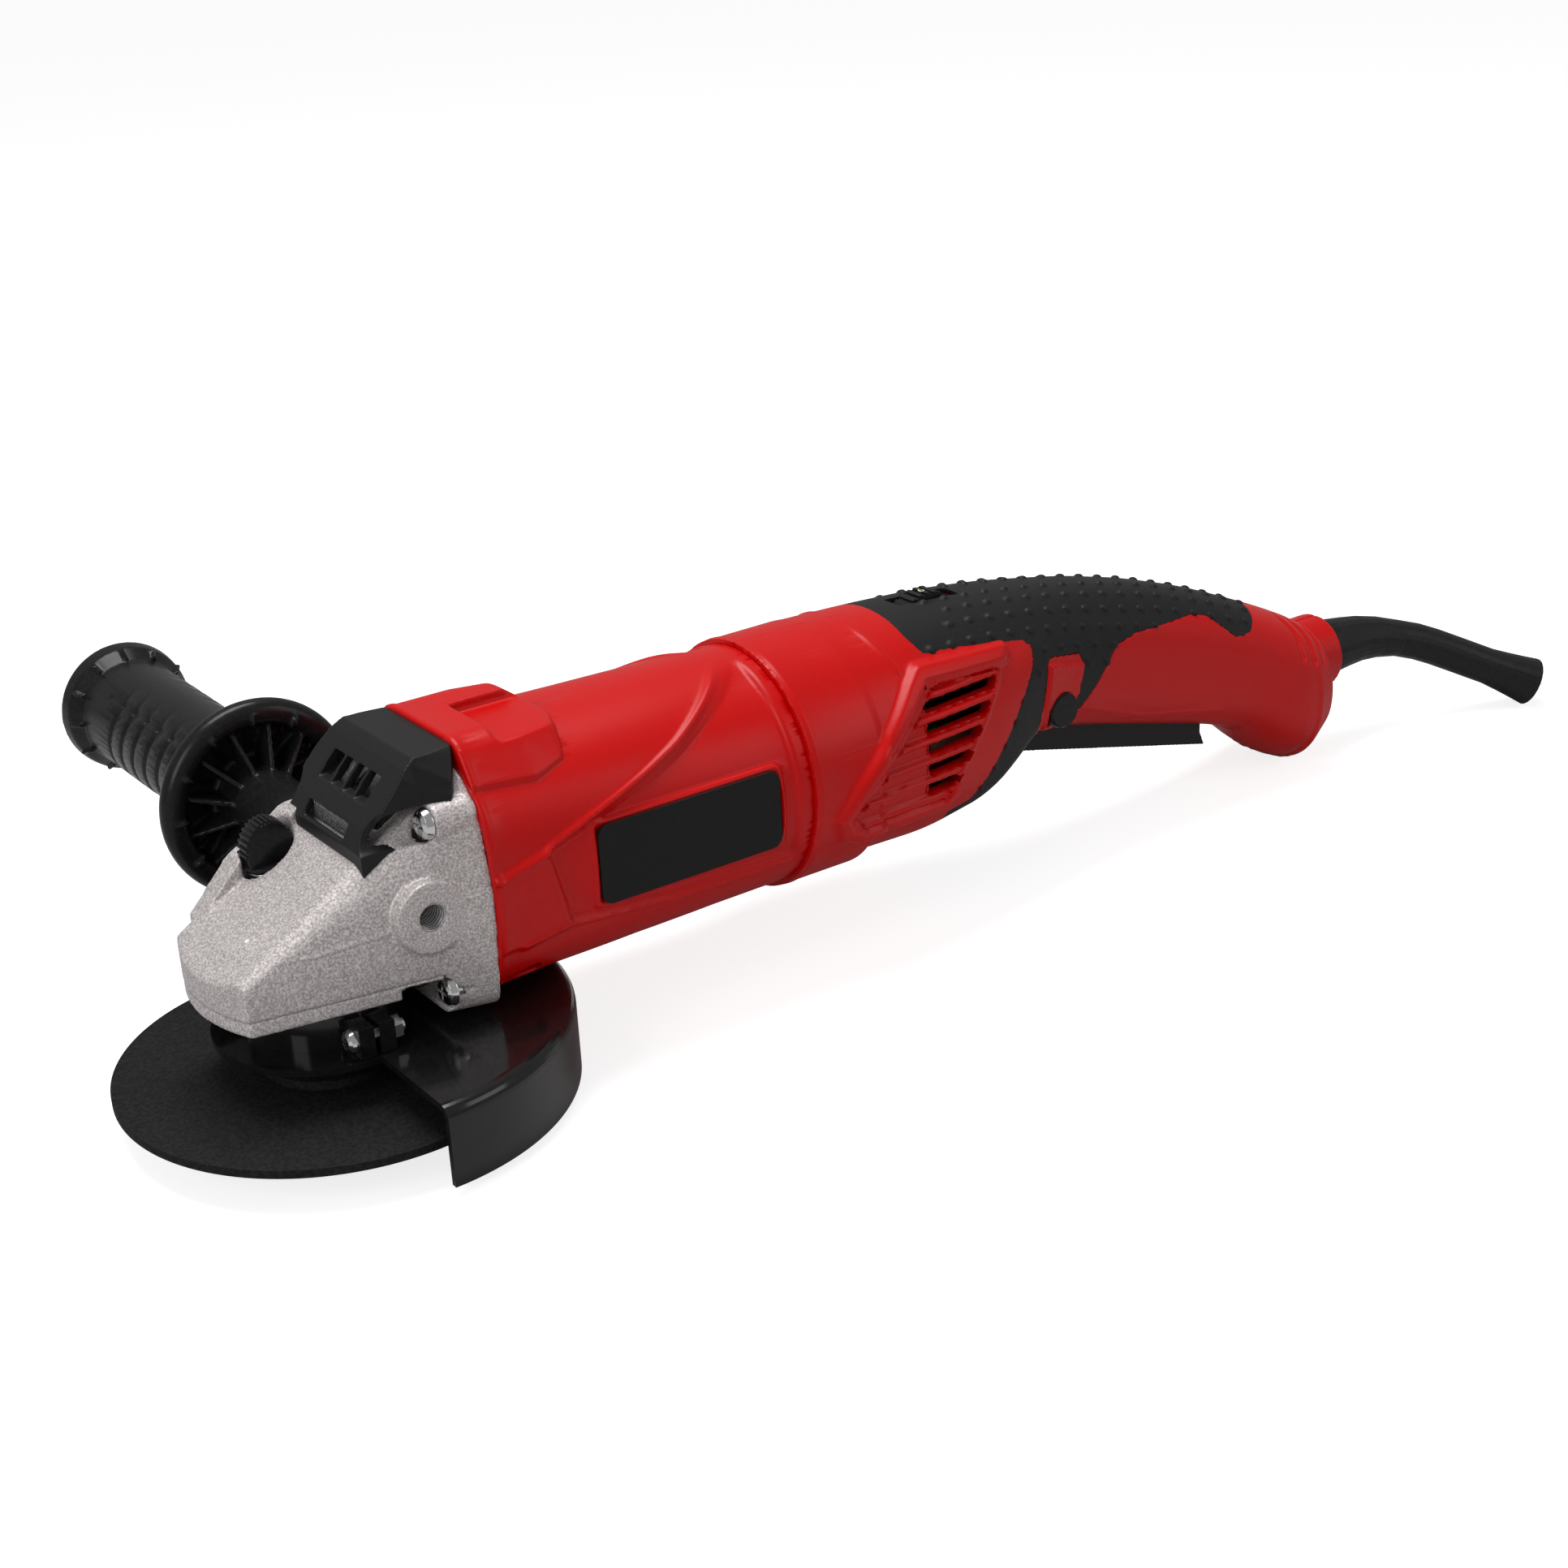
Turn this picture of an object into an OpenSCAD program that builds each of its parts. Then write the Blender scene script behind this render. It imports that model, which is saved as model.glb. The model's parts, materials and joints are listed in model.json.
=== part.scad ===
// Long-handled angle grinder for 125 mm discs, as an assembly of separate pieces.
// Frame: +X from the spindle to the tail, +Z up along the spindle, +Y to the side handle.
// The origin is the centre of the spindle's free lower end.

/* [Disc and guard] */
// Diameter of the abrasive disc
disc_d = 125; // [115:1:125]
// Thickness of the disc
disc_t = 2.5; // [1:0.1:3.2]
// Bore of the disc
disc_bore_d = 22.23; // [22.23:0.01:22.3]
// Height of the disc's middle above the spindle's end
disc_h = 8; // [7.5:0.1:9]
// Gap between the disc's rim and the guard's wall
guard_gap = 5.8; // [4:0.1:9]
// Thickness of the guard's steel
guard_t = 2; // [1.5:0.1:2.5]
// Height of the guard's top face
guard_top = 22.5; // [22:0.1:23]
// Depth of the guard's wall
guard_depth = 24; // [20:0.5:24.5]

/* [Spindle and gears] */
// Height of the motor axis and of the side handle above the spindle's end
axis_h = 58.5; // [58:0.1:59]
// Outer pitch radius of the crown gear
crown_r = 24.3; // [24:0.1:24.4]
// Inner radius of the crown gear's teeth
crown_r_in = 18.6; // [18.4:0.1:19]

/* [Gear head] */
// Half width of the nose
nose_w = 22.6; // [22:0.1:25]
// Wall of the gear housing
head_wall = 3; // [2.5:0.1:3.2]
// Height of the seam between gear housing and bearing cover
seam_h = 39.4; // [39:0.1:40]
// Thickness of the bearing cover's plate
cover_t = 4.5; // [4:0.1:5]
// Radius of the neck that carries the guard
neck_r = 21; // [21:0.1:22]
// Where the gear housing meets the motor housing
joint_x = 38; // [37:0.5:39]

/* [Motor housing] */
// Outside diameter of the motor housing at its rear
body_d = 76.4; // [74:0.2:80]
// Where the motor housing meets the handle
seam_x = 146; // [144:1:150]
// Wall of the motor housing
body_wall = 2.8; // [2.4:0.1:3.2]
// Radius of the armature core
armature_r = 20; // [18:0.5:20.5]
// Air gap between the armature and the stator
air_gap = 0.6; // [0.4:0.1:1]

/* [Rear handle] */
// Wall of the handle shells
shell_wall = 2.6; // [2.2:0.1:3]
// Thickness of the rubber grip
rubber_t = 1.6; // [1.2:0.1:2]
// Where the handle's tail ends
tail_x = 391; // [388:1:394]
// Length of the cord boss behind the tail
boss_len = 13; // [10:1:16]
// Radius of the lock-on button
lock_on_r = 6.1; // [5.5:0.1:6.4]
// Radius of the speed dial
dial_r = 13.5; // [12.5:0.1:14]
// Width of the speed dial
dial_w = 7; // [6:0.1:7.5]

/* [Cord sleeve] */
// Radius of the sleeve at its root
sleeve_root_r = 10.2; // [9.5:0.1:10.3]
// Radius of the sleeve along its middle
sleeve_mid_r = 6.9; // [6.5:0.1:7.5]
// Radius of the sleeve's mouth
sleeve_mouth_r = 9.2; // [8.5:0.1:9.5]
// Radius of the cord passage in the sleeve
sleeve_bore_r = 4.2; // [3.5:0.1:4.5]

/* [Side handle] */
// Where the side handle's axis crosses the head
side_x = 19.8; // [19:0.1:20]
// Half distance between the faces of the two side bosses
boss_y = 34; // [33.5:0.1:35]
// Depth of the threaded side holes
side_hole_len = 12; // [10:0.5:12]
// Radius of the hand guard flange
flange_r = 31.8; // [28:0.1:33]
// Radius of the grip
side_grip_r = 17; // [15:0.1:18.5]
// Length of the side handle from its flange to its end
side_len = 114; // [100:1:125]

/* [Hidden] */
$fn = 48;
eps = 0.01;
fit = 0.05;

// standard sizes: the M14 spindle, its 6202 bearing and the M8 side handle
plunger_r = 2.5;
plunger_swing = 1.3;
spindle_d = 14;
free_land = 2.2;
thread_relief = 0.3;
spindle_bearing_d = 35;
side_thread_d = 8;
crown_teeth = 38;
pinion_teeth = 11;

// heights along the spindle
disc_top = disc_h + disc_t / 2;
disc_bottom = disc_h - disc_t / 2;
flange_top = disc_top + 4.75;
nut_bottom = disc_bottom - 3.75;
cover_bottom = seam_h - cover_t;
bearing_top = 36;
bearing_h = 11;
bearing_bottom = bearing_top - bearing_h;
neck_bottom = guard_top;
spindle_r = spindle_d / 2;
guard_r = disc_d / 2 + guard_gap + guard_t;

// gear mesh: the pitch cones meet at the crossing of the two axes
pinion_r = crown_r * pinion_teeth / crown_teeth;
cone = pinion_r / crown_r;
crown_pitch_z = axis_h - pinion_r;
tooth_h = 1.05;
web_top = 49;
lock_hole_r = 2.8;
lock_pin_r = 2.5;
lock_pitch_r = 15;
lock_angle = 103.8;
lock_pos = [-4.3, 17.5];
button_r = 7.6;

body_r = body_d / 2;
head_slope = 0.62;
nose_x = -32;
nose_h = 51;
nose_arc_r = 51.7;
nose_front = -37.2;
lower_x = 23;
body_floor = 24.8;
screw_x = 25;
head_screw_at = [[25.8, 82.8], [29.4, 33.2]];
armature_x0 = 66;
armature_x1 = 110;
stator_r = body_r - body_wall - 4;
bore_r = armature_r + air_gap;
commutator_x = 122;
commutator_len = 14;
commutator_r = 11;
brush_x = commutator_x + commutator_len / 2;

// handle landmarks
trigger_pivot = [333, 29];
plunger_x = 272;
switch_floor = 47.8;
lock_on_at = [257, 54];
dial_at = [219, 84.6];
tail_axis_h = 31.5;
boss_r = 14;
side_flange_y = 76.8;
side_end_y = side_flange_y + side_len;

function lerp(a, b, t) = a + (b - a) * t;
function mix(A, B, t) = [for (i = [0 : len(A) - 1]) lerp(A[i], B[i], t)];
function at(T, x, i = 0) =
  i >= len(T) - 2 || x <= T[i + 1][0]
    ? mix(T[i], T[i + 1], (x - T[i][0]) / (T[i + 1][0] - T[i][0]))
    : at(T, x, i + 1);
function sgn_pow(v, p) = sign(v) * pow(abs(v), p);
function bez(a, b, c, t) = (1 - t) * (1 - t) * a + 2 * (1 - t) * t * b + t * t * c;
function rounded(P, R, n = 4) = [
  for (i = [0 : len(P) - 1])
    let (p = P[i], q = P[(i + len(P) - 1) % len(P)], s = P[(i + 1) % len(P)])
    let (u = (q - p) / norm(q - p), v = (s - p) / norm(s - p))
    for (k = [0 : n]) bez(p + u * R[i], p, p + v * R[i], k / n)];

// A closed skin through sections of equal point count, each at its own x
module loft(xs, secs) {
  n = len(secs[0]);
  m = len(xs);
  polyhedron(
    points = [for (i = [0 : m - 1]) for (p = secs[i]) [xs[i], p[0], p[1]]],
    faces = concat(
      [[for (j = [0 : n - 1]) j]],
      [for (i = [0 : m - 2]) for (j = [0 : n - 1]) let (k = (j + 1) % n)
        each [[i * n + j, (i + 1) * n + j, (i + 1) * n + k], [i * n + j, (i + 1) * n + k, i * n + k]]],
      [[for (j = [n - 1 : -1 : 0]) (m - 1) * n + j]]));
}

// A round tube swept through points, with one radius for each point
module sweep(path, radii, sides = 16) {
  n = len(path);
  tangents = [for (i = [0 : n - 1])
    let (d = path[min(i + 1, n - 1)] - path[max(i - 1, 0)]) d / norm(d)];
  ring = [for (i = [0 : n - 1])
    let (u0 = cross(tangents[i], [0, 0, 1]), u = u0 / norm(u0), v = cross(u, tangents[i]))
    [for (j = [0 : sides - 1])
      path[i] + radii[i] * (cos(360 * j / sides) * u + sin(360 * j / sides) * v)]];
  polyhedron(
    points = [for (r = ring) each r],
    faces = concat(
      [[for (j = [sides - 1 : -1 : 0]) j]],
      [for (i = [0 : n - 2]) for (j = [0 : sides - 1]) let (k = (j + 1) % sides, a = i * sides, b = a + sides)
        each [[a + j, b + k, b + j], [a + j, a + k, b + k]]],
      [[for (j = [0 : sides - 1]) (n - 1) * sides + j]]));
}

// A compression spring along +Z
module spring(r, wire_r, turns, h) {
  seg = 10;
  sides = 6;
  n = turns * seg;
  ring = [for (i = [0 : n])
    let (a = 360 * i / seg, c = [r * cos(a), r * sin(a), wire_r + (h - 2 * wire_r) * i / n])
    [for (j = [0 : sides - 1])
      c + wire_r * [cos(60 * j) * cos(a), cos(60 * j) * sin(a), sin(60 * j)]]];
  polyhedron(
    points = [for (q = ring) each q],
    faces = concat(
      [[for (j = [sides - 1 : -1 : 0]) j]],
      [for (i = [0 : n - 1]) for (j = [0 : sides - 1]) let (k = (j + 1) % sides, a = i * sides, b = a + sides)
        each [[a + j, b + k, b + j], [a + j, a + k, b + k]]],
      [[for (j = [0 : sides - 1]) n * sides + j]]));
}

module along_x(x, y = 0, z = 0) translate([x, y, z]) rotate([0, 90, 0]) children();
module along_y(x, y, z) translate([x, y, z]) rotate([-90, 0, 0]) children();
module pair() { children(); mirror([0, 1, 0]) children(); }
module ring(r_out, r_in, h) difference() {
  cylinder(r = r_out, h = h);
  translate([0, 0, -1]) cylinder(r = r_in, h = h + 2);
}
// A cast or moulded screw with a pan head at z 0 and its shank going up
module pan_screw(r, head_r, head_h, len) {
  difference() {
    union() {
      rotate_extrude() polygon([[0, -head_h], [head_r * 0.6, -head_h], [head_r * 0.9, -head_h * 0.7],
        [head_r, -head_h * 0.25], [head_r, 0], [0, 0]]);
      cylinder(r = r, h = len);
    }
    for (a = [0, 90]) rotate(a) translate([-head_r * 0.55, -0.45, -head_h - 1])
      cube([head_r * 1.1, 0.9, 1 + head_h * 0.6]);
  }
}

/* ---- skins shared by several pieces ---- */

function head_top(x) = nose_h + head_slope * (x - nose_x);
function head_section(x, t) =
  let (k = (x - nose_x) / (joint_x - nose_x))
  let (zt = head_top(x) - 1.15 * t)
  let (wt = lerp(nose_w - 2.6, 21.5, k) - t * 0.8)
  let (wc = lerp(nose_w, 31.2, k) - t, zc = min(lerp(nose_h - 1, 84, k), zt - 1))
  let (wm = lerp(nose_w, 36.3, k) - t, zm = min(lerp(44, 58, k), zc - 1))
  let (wb = lerp(nose_w, 33.5, k) - t, zb = lerp(30, body_floor, k) + t)
  let (P = [[wb, zb], [wm, zm], [wc, zc], [wt, zt], [-wt, zt], [-wc, zc], [-wm, zm], [-wb, zb]])
  let (r = lerp(1.2, 7, k))
  rounded(P, [r * 0.8, r, r, r * 0.8, r * 0.8, r, r, r * 0.8]);
module head_skin(t) {
  xs = [for (i = [0 : 2]) lerp(-39, joint_x, i / 2)];
  intersection() {
    loft(xs, [for (x = xs) head_section(x, t)]);
    translate([nose_front + nose_arc_r, 0, 0]) cylinder(r = nose_arc_r - t, h = 140, $fn = 96);
  }
}

// Room inside the gear housing, up to the wall that holds the front bearing
module head_cavity() intersection() {
  xs = [nose_x - 2, joint_x - 9];
  loft(xs, [for (x = xs) let (k = (x - nose_x) / (joint_x - nose_x), t = head_wall)
    let (zt = head_top(x) - 1.15 * t, wt = lerp(nose_w - 2.6, 21.5, k) - t * 0.8)
    let (wc = lerp(nose_w, 31.2, k) - t, zc = min(lerp(nose_h - 1, 84, k), zt - 1))
    let (wm = lerp(nose_w, 36.3, k) - t, zm = min(lerp(44, 58, k), zc - 1))
    let (wb = lerp(nose_w, 33.5, k) - t, zb = body_floor + t)
    [[wb, zb], [wm, zm], [wc, zc], [wt, zt], [-wt, zt], [-wc, zc], [-wm, zm], [-wb, zb]]]);
  translate([nose_front + nose_arc_r, 0, 0]) cylinder(r = nose_arc_r - head_wall, h = 140, $fn = 96);
}

// x, centre height, half width, half height, exponent above, exponent below
body_stations = [
  [joint_x, 60.9, 36.4, 36.1, 2.7, 4],
  [60, 60.4, 36.8, 36.6, 2.5, 3.1],
  [90, 59.6, 37.6, 37.4, 2.25, 2.5],
  [120, 58.9, body_r, body_r, 2.05, 2.1],
  [seam_x, axis_h, body_r, body_r, 2, 2]];
function oval(cz, hw, hh, nt, nb, n = 40) = [for (j = [0 : n - 1])
  let (a = 360 * (j + 0.5) / n, e = sin(a) > 0 ? nt : nb)
  [hw * sgn_pow(cos(a), 2 / e), cz + hh * sgn_pow(sin(a), 2 / e)]];
module body_skin(t, x0 = joint_x, x1 = seam_x) {
  xs = [for (i = [0 : 7]) lerp(x0, x1, i / 7)];
  loft(xs, [for (x = xs) let (s = at(body_stations, x)) oval(s[1], s[2] - t, s[3] - t, s[4], s[5])]);
}

// x, top, bottom, half width, exponent above, exponent below
collar_r = body_r + 1.5;
handle_stations = [
  [146, axis_h + collar_r, axis_h - collar_r, collar_r, 2, 2],
  [171, axis_h + collar_r + 0.2, axis_h - collar_r + 0.6, collar_r - 0.1, 2, 2.1],
  [174, axis_h + collar_r, axis_h - collar_r + 4.2, body_r, 2, 2.3],
  [200, 97.2, 23.2, 36.4, 2.1, 2.6],
  [226, 95.7, 26.2, 32.8, 2.2, 2.6],
  [238, 94.5, 32, 30, 2.2, 2.5],
  [250, 93, 41, 26.6, 2.3, 2.5],
  [264, 90.8, 41.2, 23.6, 2.3, 2.6],
  [285, 87, 36, 22.2, 2.3, 2.7],
  [310, 80.6, 29.4, 21.6, 2.3, 2.7],
  [335, 72.3, 22.6, 21.8, 2.3, 2.6],
  [352, 65.4, 17, 22.6, 2.3, 2.5],
  [361, 61.4, 9.5, 23.5, 2.3, 2.3],
  [370, 57.6, 1.5, 24.6, 2.3, 2.2],
  [382, 51.8, -4, 25, 2.3, 2.2],
  [391, 46.4, 2.5, 21.5, 2.3, 2.2]];
module handle_skin(t, x0 = seam_x, x1 = tail_x) {
  span = handle_stations[len(handle_stations) - 1][0] - handle_stations[0][0];
  xs = [for (s = handle_stations) x0 + (s[0] - handle_stations[0][0]) * (x1 - x0) / span];
  loft(xs, [for (s = handle_stations)
    oval((s[1] + s[2]) / 2, s[3] - t, (s[1] - s[2]) / 2 - t, s[4], s[5])]);
}

/* ---- spindle, gears and disc ---- */

module grinding_disc() color([0.10, 0.10, 0.11]) translate([0, 0, disc_bottom])
  ring(disc_d / 2, disc_bore_d / 2, disc_t);

module inner_flange() color([0.08, 0.08, 0.08]) difference() {
  rotate_extrude() polygon([[0, disc_top - 1.6], [disc_bore_d / 2 - fit, disc_top - 1.6],
    [disc_bore_d / 2 - fit, disc_top], [20.5, disc_top], [20.5, disc_top + 2.6],
    [15, flange_top], [0, flange_top]]);
  translate([0, 0, disc_bottom - 5]) cylinder(r = spindle_r + fit, h = 30);
}

module lock_nut() color([0.35, 0.35, 0.36]) difference() {
  union() {
    translate([0, 0, nut_bottom]) cylinder(r = 20.5, h = disc_bottom - nut_bottom);
    translate([0, 0, disc_bottom - eps]) cylinder(r = disc_bore_d / 2 - fit, h = 0.9);
  }
  translate([0, 0, nut_bottom - 1]) cylinder(r = spindle_r + fit, h = 10);
  for (a = [0 : 90 : 270]) rotate(a) translate([15, 0, nut_bottom - 1]) cylinder(r = 2.5, h = 3.5);
  translate([0, 0, nut_bottom - 1]) ring(18.5, 12, 1.8);
}

module spindle() color([0.55, 0.56, 0.58]) difference() {
  rotate_extrude() polygon([[0, 0], [spindle_r, 0], [spindle_r, free_land],
    [spindle_r - thread_relief, free_land], [spindle_r - thread_relief, flange_top],
    [8.6, flange_top], [8.6, bearing_bottom], [7.5, bearing_bottom], [7.5, bearing_top], [6.5, bearing_top],
    [6.5, 51], [3, 52.5], [3, 63.6], [2.4, 64], [0, 64]]);
  translate([0, 0, -1]) cylinder(r = 1.6, h = 5);
}

module spindle_bearing() color([0.75, 0.76, 0.78]) translate([0, 0, bearing_bottom]) difference() {
  ring(spindle_bearing_d / 2, 7.5 + fit, bearing_h);
  for (z = [-1, bearing_h - 0.6]) translate([0, 0, z]) ring(spindle_bearing_d / 2 - 3, 10.4, 1.6);
}

module needle_bearing() color([0.7, 0.7, 0.68]) translate([0, 0, 56]) ring(5, 3 + fit, 8);

module gear_circlip() color([0.5, 0.5, 0.52]) translate([0, 0, web_top + 1.2]) ring(8, 6.5, 1);

// Straight bevel teeth are left standing between grooves cut along the pitch cone
module crown_gear() color([0.42, 0.42, 0.44]) difference() {
  rotate_extrude() polygon([
    [6.5, bearing_top + 0.3], [11, bearing_top + 0.3], [11, 42], [22, 43.5], [crown_r, 46.5],
    [crown_r, crown_pitch_z + tooth_h * 0.5],
    [crown_r_in, axis_h - crown_r_in * cone + tooth_h * 0.5],
    [crown_r_in, web_top], [9.5, web_top], [9.5, web_top + 1.2], [6.5, web_top + 1.2]]);
  for (i = [0 : crown_teeth - 1]) rotate((i + 0.5) * 360 / crown_teeth)
    translate([crown_r, 0, crown_pitch_z]) rotate([0, atan(cone), 0]) rotate([0, -90, 0])
      translate([0, 0, -3]) linear_extrude(crown_r - crown_r_in + 5)
        polygon([[-tooth_h * 0.9, -0.72], [-tooth_h * 0.9, 0.72],
          [tooth_h * 1.4, 1.52], [tooth_h * 1.4, -1.52]]);
  for (i = [0 : 11]) rotate(lock_angle + i * 30) translate([lock_pitch_r, 0, web_top - 4])
    cylinder(r = lock_hole_r, h = 8);
}

module pinion() color([0.45, 0.45, 0.47]) difference() {
  along_x(0, 0, axis_h) rotate_extrude() polygon([
    [4 + fit, crown_r_in], [crown_r_in * cone + tooth_h * 0.35, crown_r_in],
    [pinion_r + tooth_h * 0.5, crown_r + 0.3], [pinion_r - 1.5, crown_r + 2.2], [4 + fit, crown_r + 2.2]]);
  for (i = [0 : pinion_teeth - 1]) translate([0, 0, axis_h]) rotate([i * 360 / pinion_teeth, 0, 0])
    translate([crown_r, 0, -pinion_r]) rotate([0, atan(cone), 0]) rotate([0, -90, 0])
      translate([0, 0, -6]) linear_extrude(crown_r - crown_r_in + 9)
        polygon([[tooth_h, -0.62], [tooth_h, 0.62],
          [-tooth_h * 1.2, 1.5], [-tooth_h * 1.2, -1.5]]);
}

module pinion_nut() color([0.5, 0.5, 0.5]) along_x(crown_r_in - 3.6, 0, axis_h) difference() {
  cylinder(r = 4.6, h = 3.5, $fn = 6);
  translate([0, 0, -1]) cylinder(r = 2.9, h = 6);
}

/* ---- guard ---- */

module guard() color([0.05, 0.05, 0.05]) difference() {
  union() {
    rotate([0, 0, -90]) rotate_extrude(angle = 180) polygon(concat(
      [[neck_r + 2.3, guard_top], [neck_r + 2.3, guard_top - guard_t], [guard_r - 4, guard_top - guard_t]],
      [for (a = [80 : -20 : 0])
        [guard_r - 4 + (4 - guard_t) * cos(a), guard_top - 4 + (4 - guard_t) * sin(a)]],
      [[guard_r - guard_t, guard_top - guard_depth], [guard_r, guard_top - guard_depth]],
      [for (a = [0 : 15 : 90]) [guard_r - 4 + 4 * cos(a), guard_top - 4 + 4 * sin(a)]]));
    translate([0, 0, guard_top - guard_t]) ring(neck_r + 12, neck_r + 2.3, guard_t);
  }
  cylinder(r = neck_r + 2.25, h = 60);
}

module guard_collar() color([0.06, 0.06, 0.06]) difference() {
  union() {
    translate([0, 0, guard_top - guard_t]) cylinder(r = neck_r + 2.25, h = 12);
    translate([-5.5, -neck_r - 11, guard_top + 0.3]) cube([11, 12, 9]);
  }
  translate([0, 0, guard_top - guard_t - 1]) cylinder(r = neck_r + fit, h = 20);
  translate([-0.8, -neck_r - 12, guard_top - 5]) cube([1.6, 14, 20]);
  along_x(-7, -neck_r - 7, guard_top + 4.8) cylinder(r = 2.05, h = 14);
}

module guard_screw() color([0.7, 0.7, 0.72]) {
  along_x(-5.5, -neck_r - 7, guard_top + 4.8) pan_screw(2, 3.6, 2.4, 15);
  along_x(5.5, -neck_r - 7, guard_top + 4.8) difference() {
    cylinder(r = 3.6, h = 2.8, $fn = 6);
    translate([0, 0, -1]) cylinder(r = 2, h = 5);
  }
}

/* ---- gear head ---- */

// Raised shoulder that carries the lock button, behind and in front of it
module lock_shoulder() intersection() {
  head_skin(-5.2);
  translate([0, lock_pos[1] - 0.4, 0]) linear_extrude(200) polygon([
    [-27, 0], [-27, 7], [joint_x - 12, 12], [joint_x - 12, 0]]);
  rotate([90, 0, 0]) translate([0, 0, -60]) linear_extrude(60) polygon([[-29, 52], [-12.5, 68.6],
    [-4, 71.5], [4, 77.5], [12, 83.5], [26, 90], [26, 60], [-20, 50]]);
}

module gear_housing() color([0.78, 0.75, 0.74]) difference() {
  union() {
    difference() {
      union() { head_skin(0); lock_shoulder(); }
      head_cavity();
      translate([-60, -60, 0]) cube([60 + lower_x, 120, seam_h]);
    }
    pair() along_y(side_x, boss_y - 14, axis_h) cylinder(r = 10.8, h = 14);
    // hanging bosses for the spindle's upper bearing and for the lock pin
    intersection() {
      head_skin(0.5);
      union() {
        translate([0, 0, 56]) cylinder(r = 8, h = 30);
        translate([lock_pin_at[0], lock_pin_at[1], gear_clear_top + 1]) cylinder(r = 5, h = 30);
        translate([lock_pos[0], lock_pos[1], button_floor - 2.5]) cylinder(r = button_r + 2.2, h = 30);
      }
    }
    // lands for the long screws
    pair() along_x(screw_x + 0.3, head_screw_at[0][0], head_screw_at[0][1])
      cylinder(r = screw_land_r, h = joint_x - screw_x - 0.3);
    pair() along_x(screw_x + 0.3, head_screw_at[1][0] - 1.6, head_screw_at[1][1] + 1)
      cylinder(r = screw_land_r - 1, h = joint_x - screw_x - 0.3);
  }
  pair() {
    along_y(side_x, boss_y - side_hole_len, axis_h) cylinder(r = side_thread_d / 2, h = 40);
    along_y(side_x, boss_y, axis_h) cylinder(r = 11.4, h = 20);
  }
  // room for the crown gear and for the guard's collar
  translate([0, 0, 30]) cylinder(r = crown_r + 0.6, h = gear_clear_top - 30);
  cylinder(r = neck_r + 2.8, h = cover_bottom);
  translate([0, 0, 55]) cylinder(r = 5 + fit, h = 9.3);
  // seat of the front bearing and the way through for the shaft
  along_x(joint_x - 8.6, 0, axis_h) cylinder(r = 13 + fit, h = 20);
  along_x(joint_x - 20, 0, axis_h) cylinder(r = 8.6, h = 30);
  // air passages beside the bearing seat
  for (a = [35, 145, 180, 0, 215, 325]) translate([joint_x - 12, 0, axis_h]) rotate([a, 0, 0])
    translate([0, 0, 17]) along_x(0, 0, 4) cylinder(r = 3.6, h = 30);
  // outlet under the air deflector
  translate([15, -15, 60]) cube([14, 30, 50]);
  // well of the lock button and bore of its pin
  translate([lock_pos[0], lock_pos[1], button_floor]) cylinder(r = button_r + 0.25, h = 40);
  translate([lock_pin_at[0], lock_pin_at[1], 40]) cylinder(r = lock_pin_r + fit, h = 60);
  for (p = head_screw_at) pair() {
    along_x(0, p[0], p[1]) cylinder(r = 2.6, h = joint_x + 5);
    along_x(-30, p[0], p[1]) cylinder(r = 5.2, h = screw_x + 30);
  }
}
screw_land_r = 5.4;
gear_clear_top = 54.2;
lock_pin_at = [lock_pitch_r * cos(lock_angle), lock_pitch_r * sin(lock_angle)];
button_floor = 60.8;

module bearing_cover() color([0.76, 0.73, 0.72]) difference() {
  union() {
    intersection() {
      head_skin(0.15);
      translate([-60, -60, cover_bottom]) cube([60 + lower_x - 0.6, 120, seam_h - cover_bottom]);
    }
    intersection() {
      translate([nose_front + nose_arc_r, 0, 0]) cylinder(r = nose_arc_r - 0.15, h = 60, $fn = 96);
      translate([0, 0, cover_bottom]) linear_extrude(seam_h - cover_bottom) polygon([
        [-39, nose_w - 1.2], [-39, -nose_w + 1.2], [lower_x - 0.6, -31.6], [lower_x - 0.6, 31.6]]);
    }
    translate([0, 0, neck_bottom]) cylinder(r = neck_r, h = seam_h - neck_bottom);
  }
  translate([0, 0, bearing_bottom]) cylinder(r = spindle_bearing_d / 2 + fit, h = 30);
  translate([0, 0, neck_bottom - 1]) cylinder(r = 12, h = 10);
  for (p = head_screw_at) pair() along_x(10, p[0], p[1]) cylinder(r = 5.2, h = 20);
  for (a = cover_screw_at) translate([a[0], a[1], 0]) {
    cylinder(r = 2.1, h = 60);
    translate([0, 0, cover_bottom - 1]) cylinder(r = 4, h = 3);
  }
}
cover_screw_at = [[-27, -13.5], [-27, 13.5], [17.5, -23.5], [17.5, 23.5]];

module cover_screws() color([0.3, 0.3, 0.32]) for (a = cover_screw_at)
  translate([a[0], a[1], cover_bottom + 2]) pan_screw(2, 3.7, 2, 7);

module head_screws() color([0.8, 0.8, 0.82]) for (p = head_screw_at) pair()
  along_x(screw_x, p[0], p[1]) pan_screw(2.5, 4.6, 3, 26);

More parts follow.
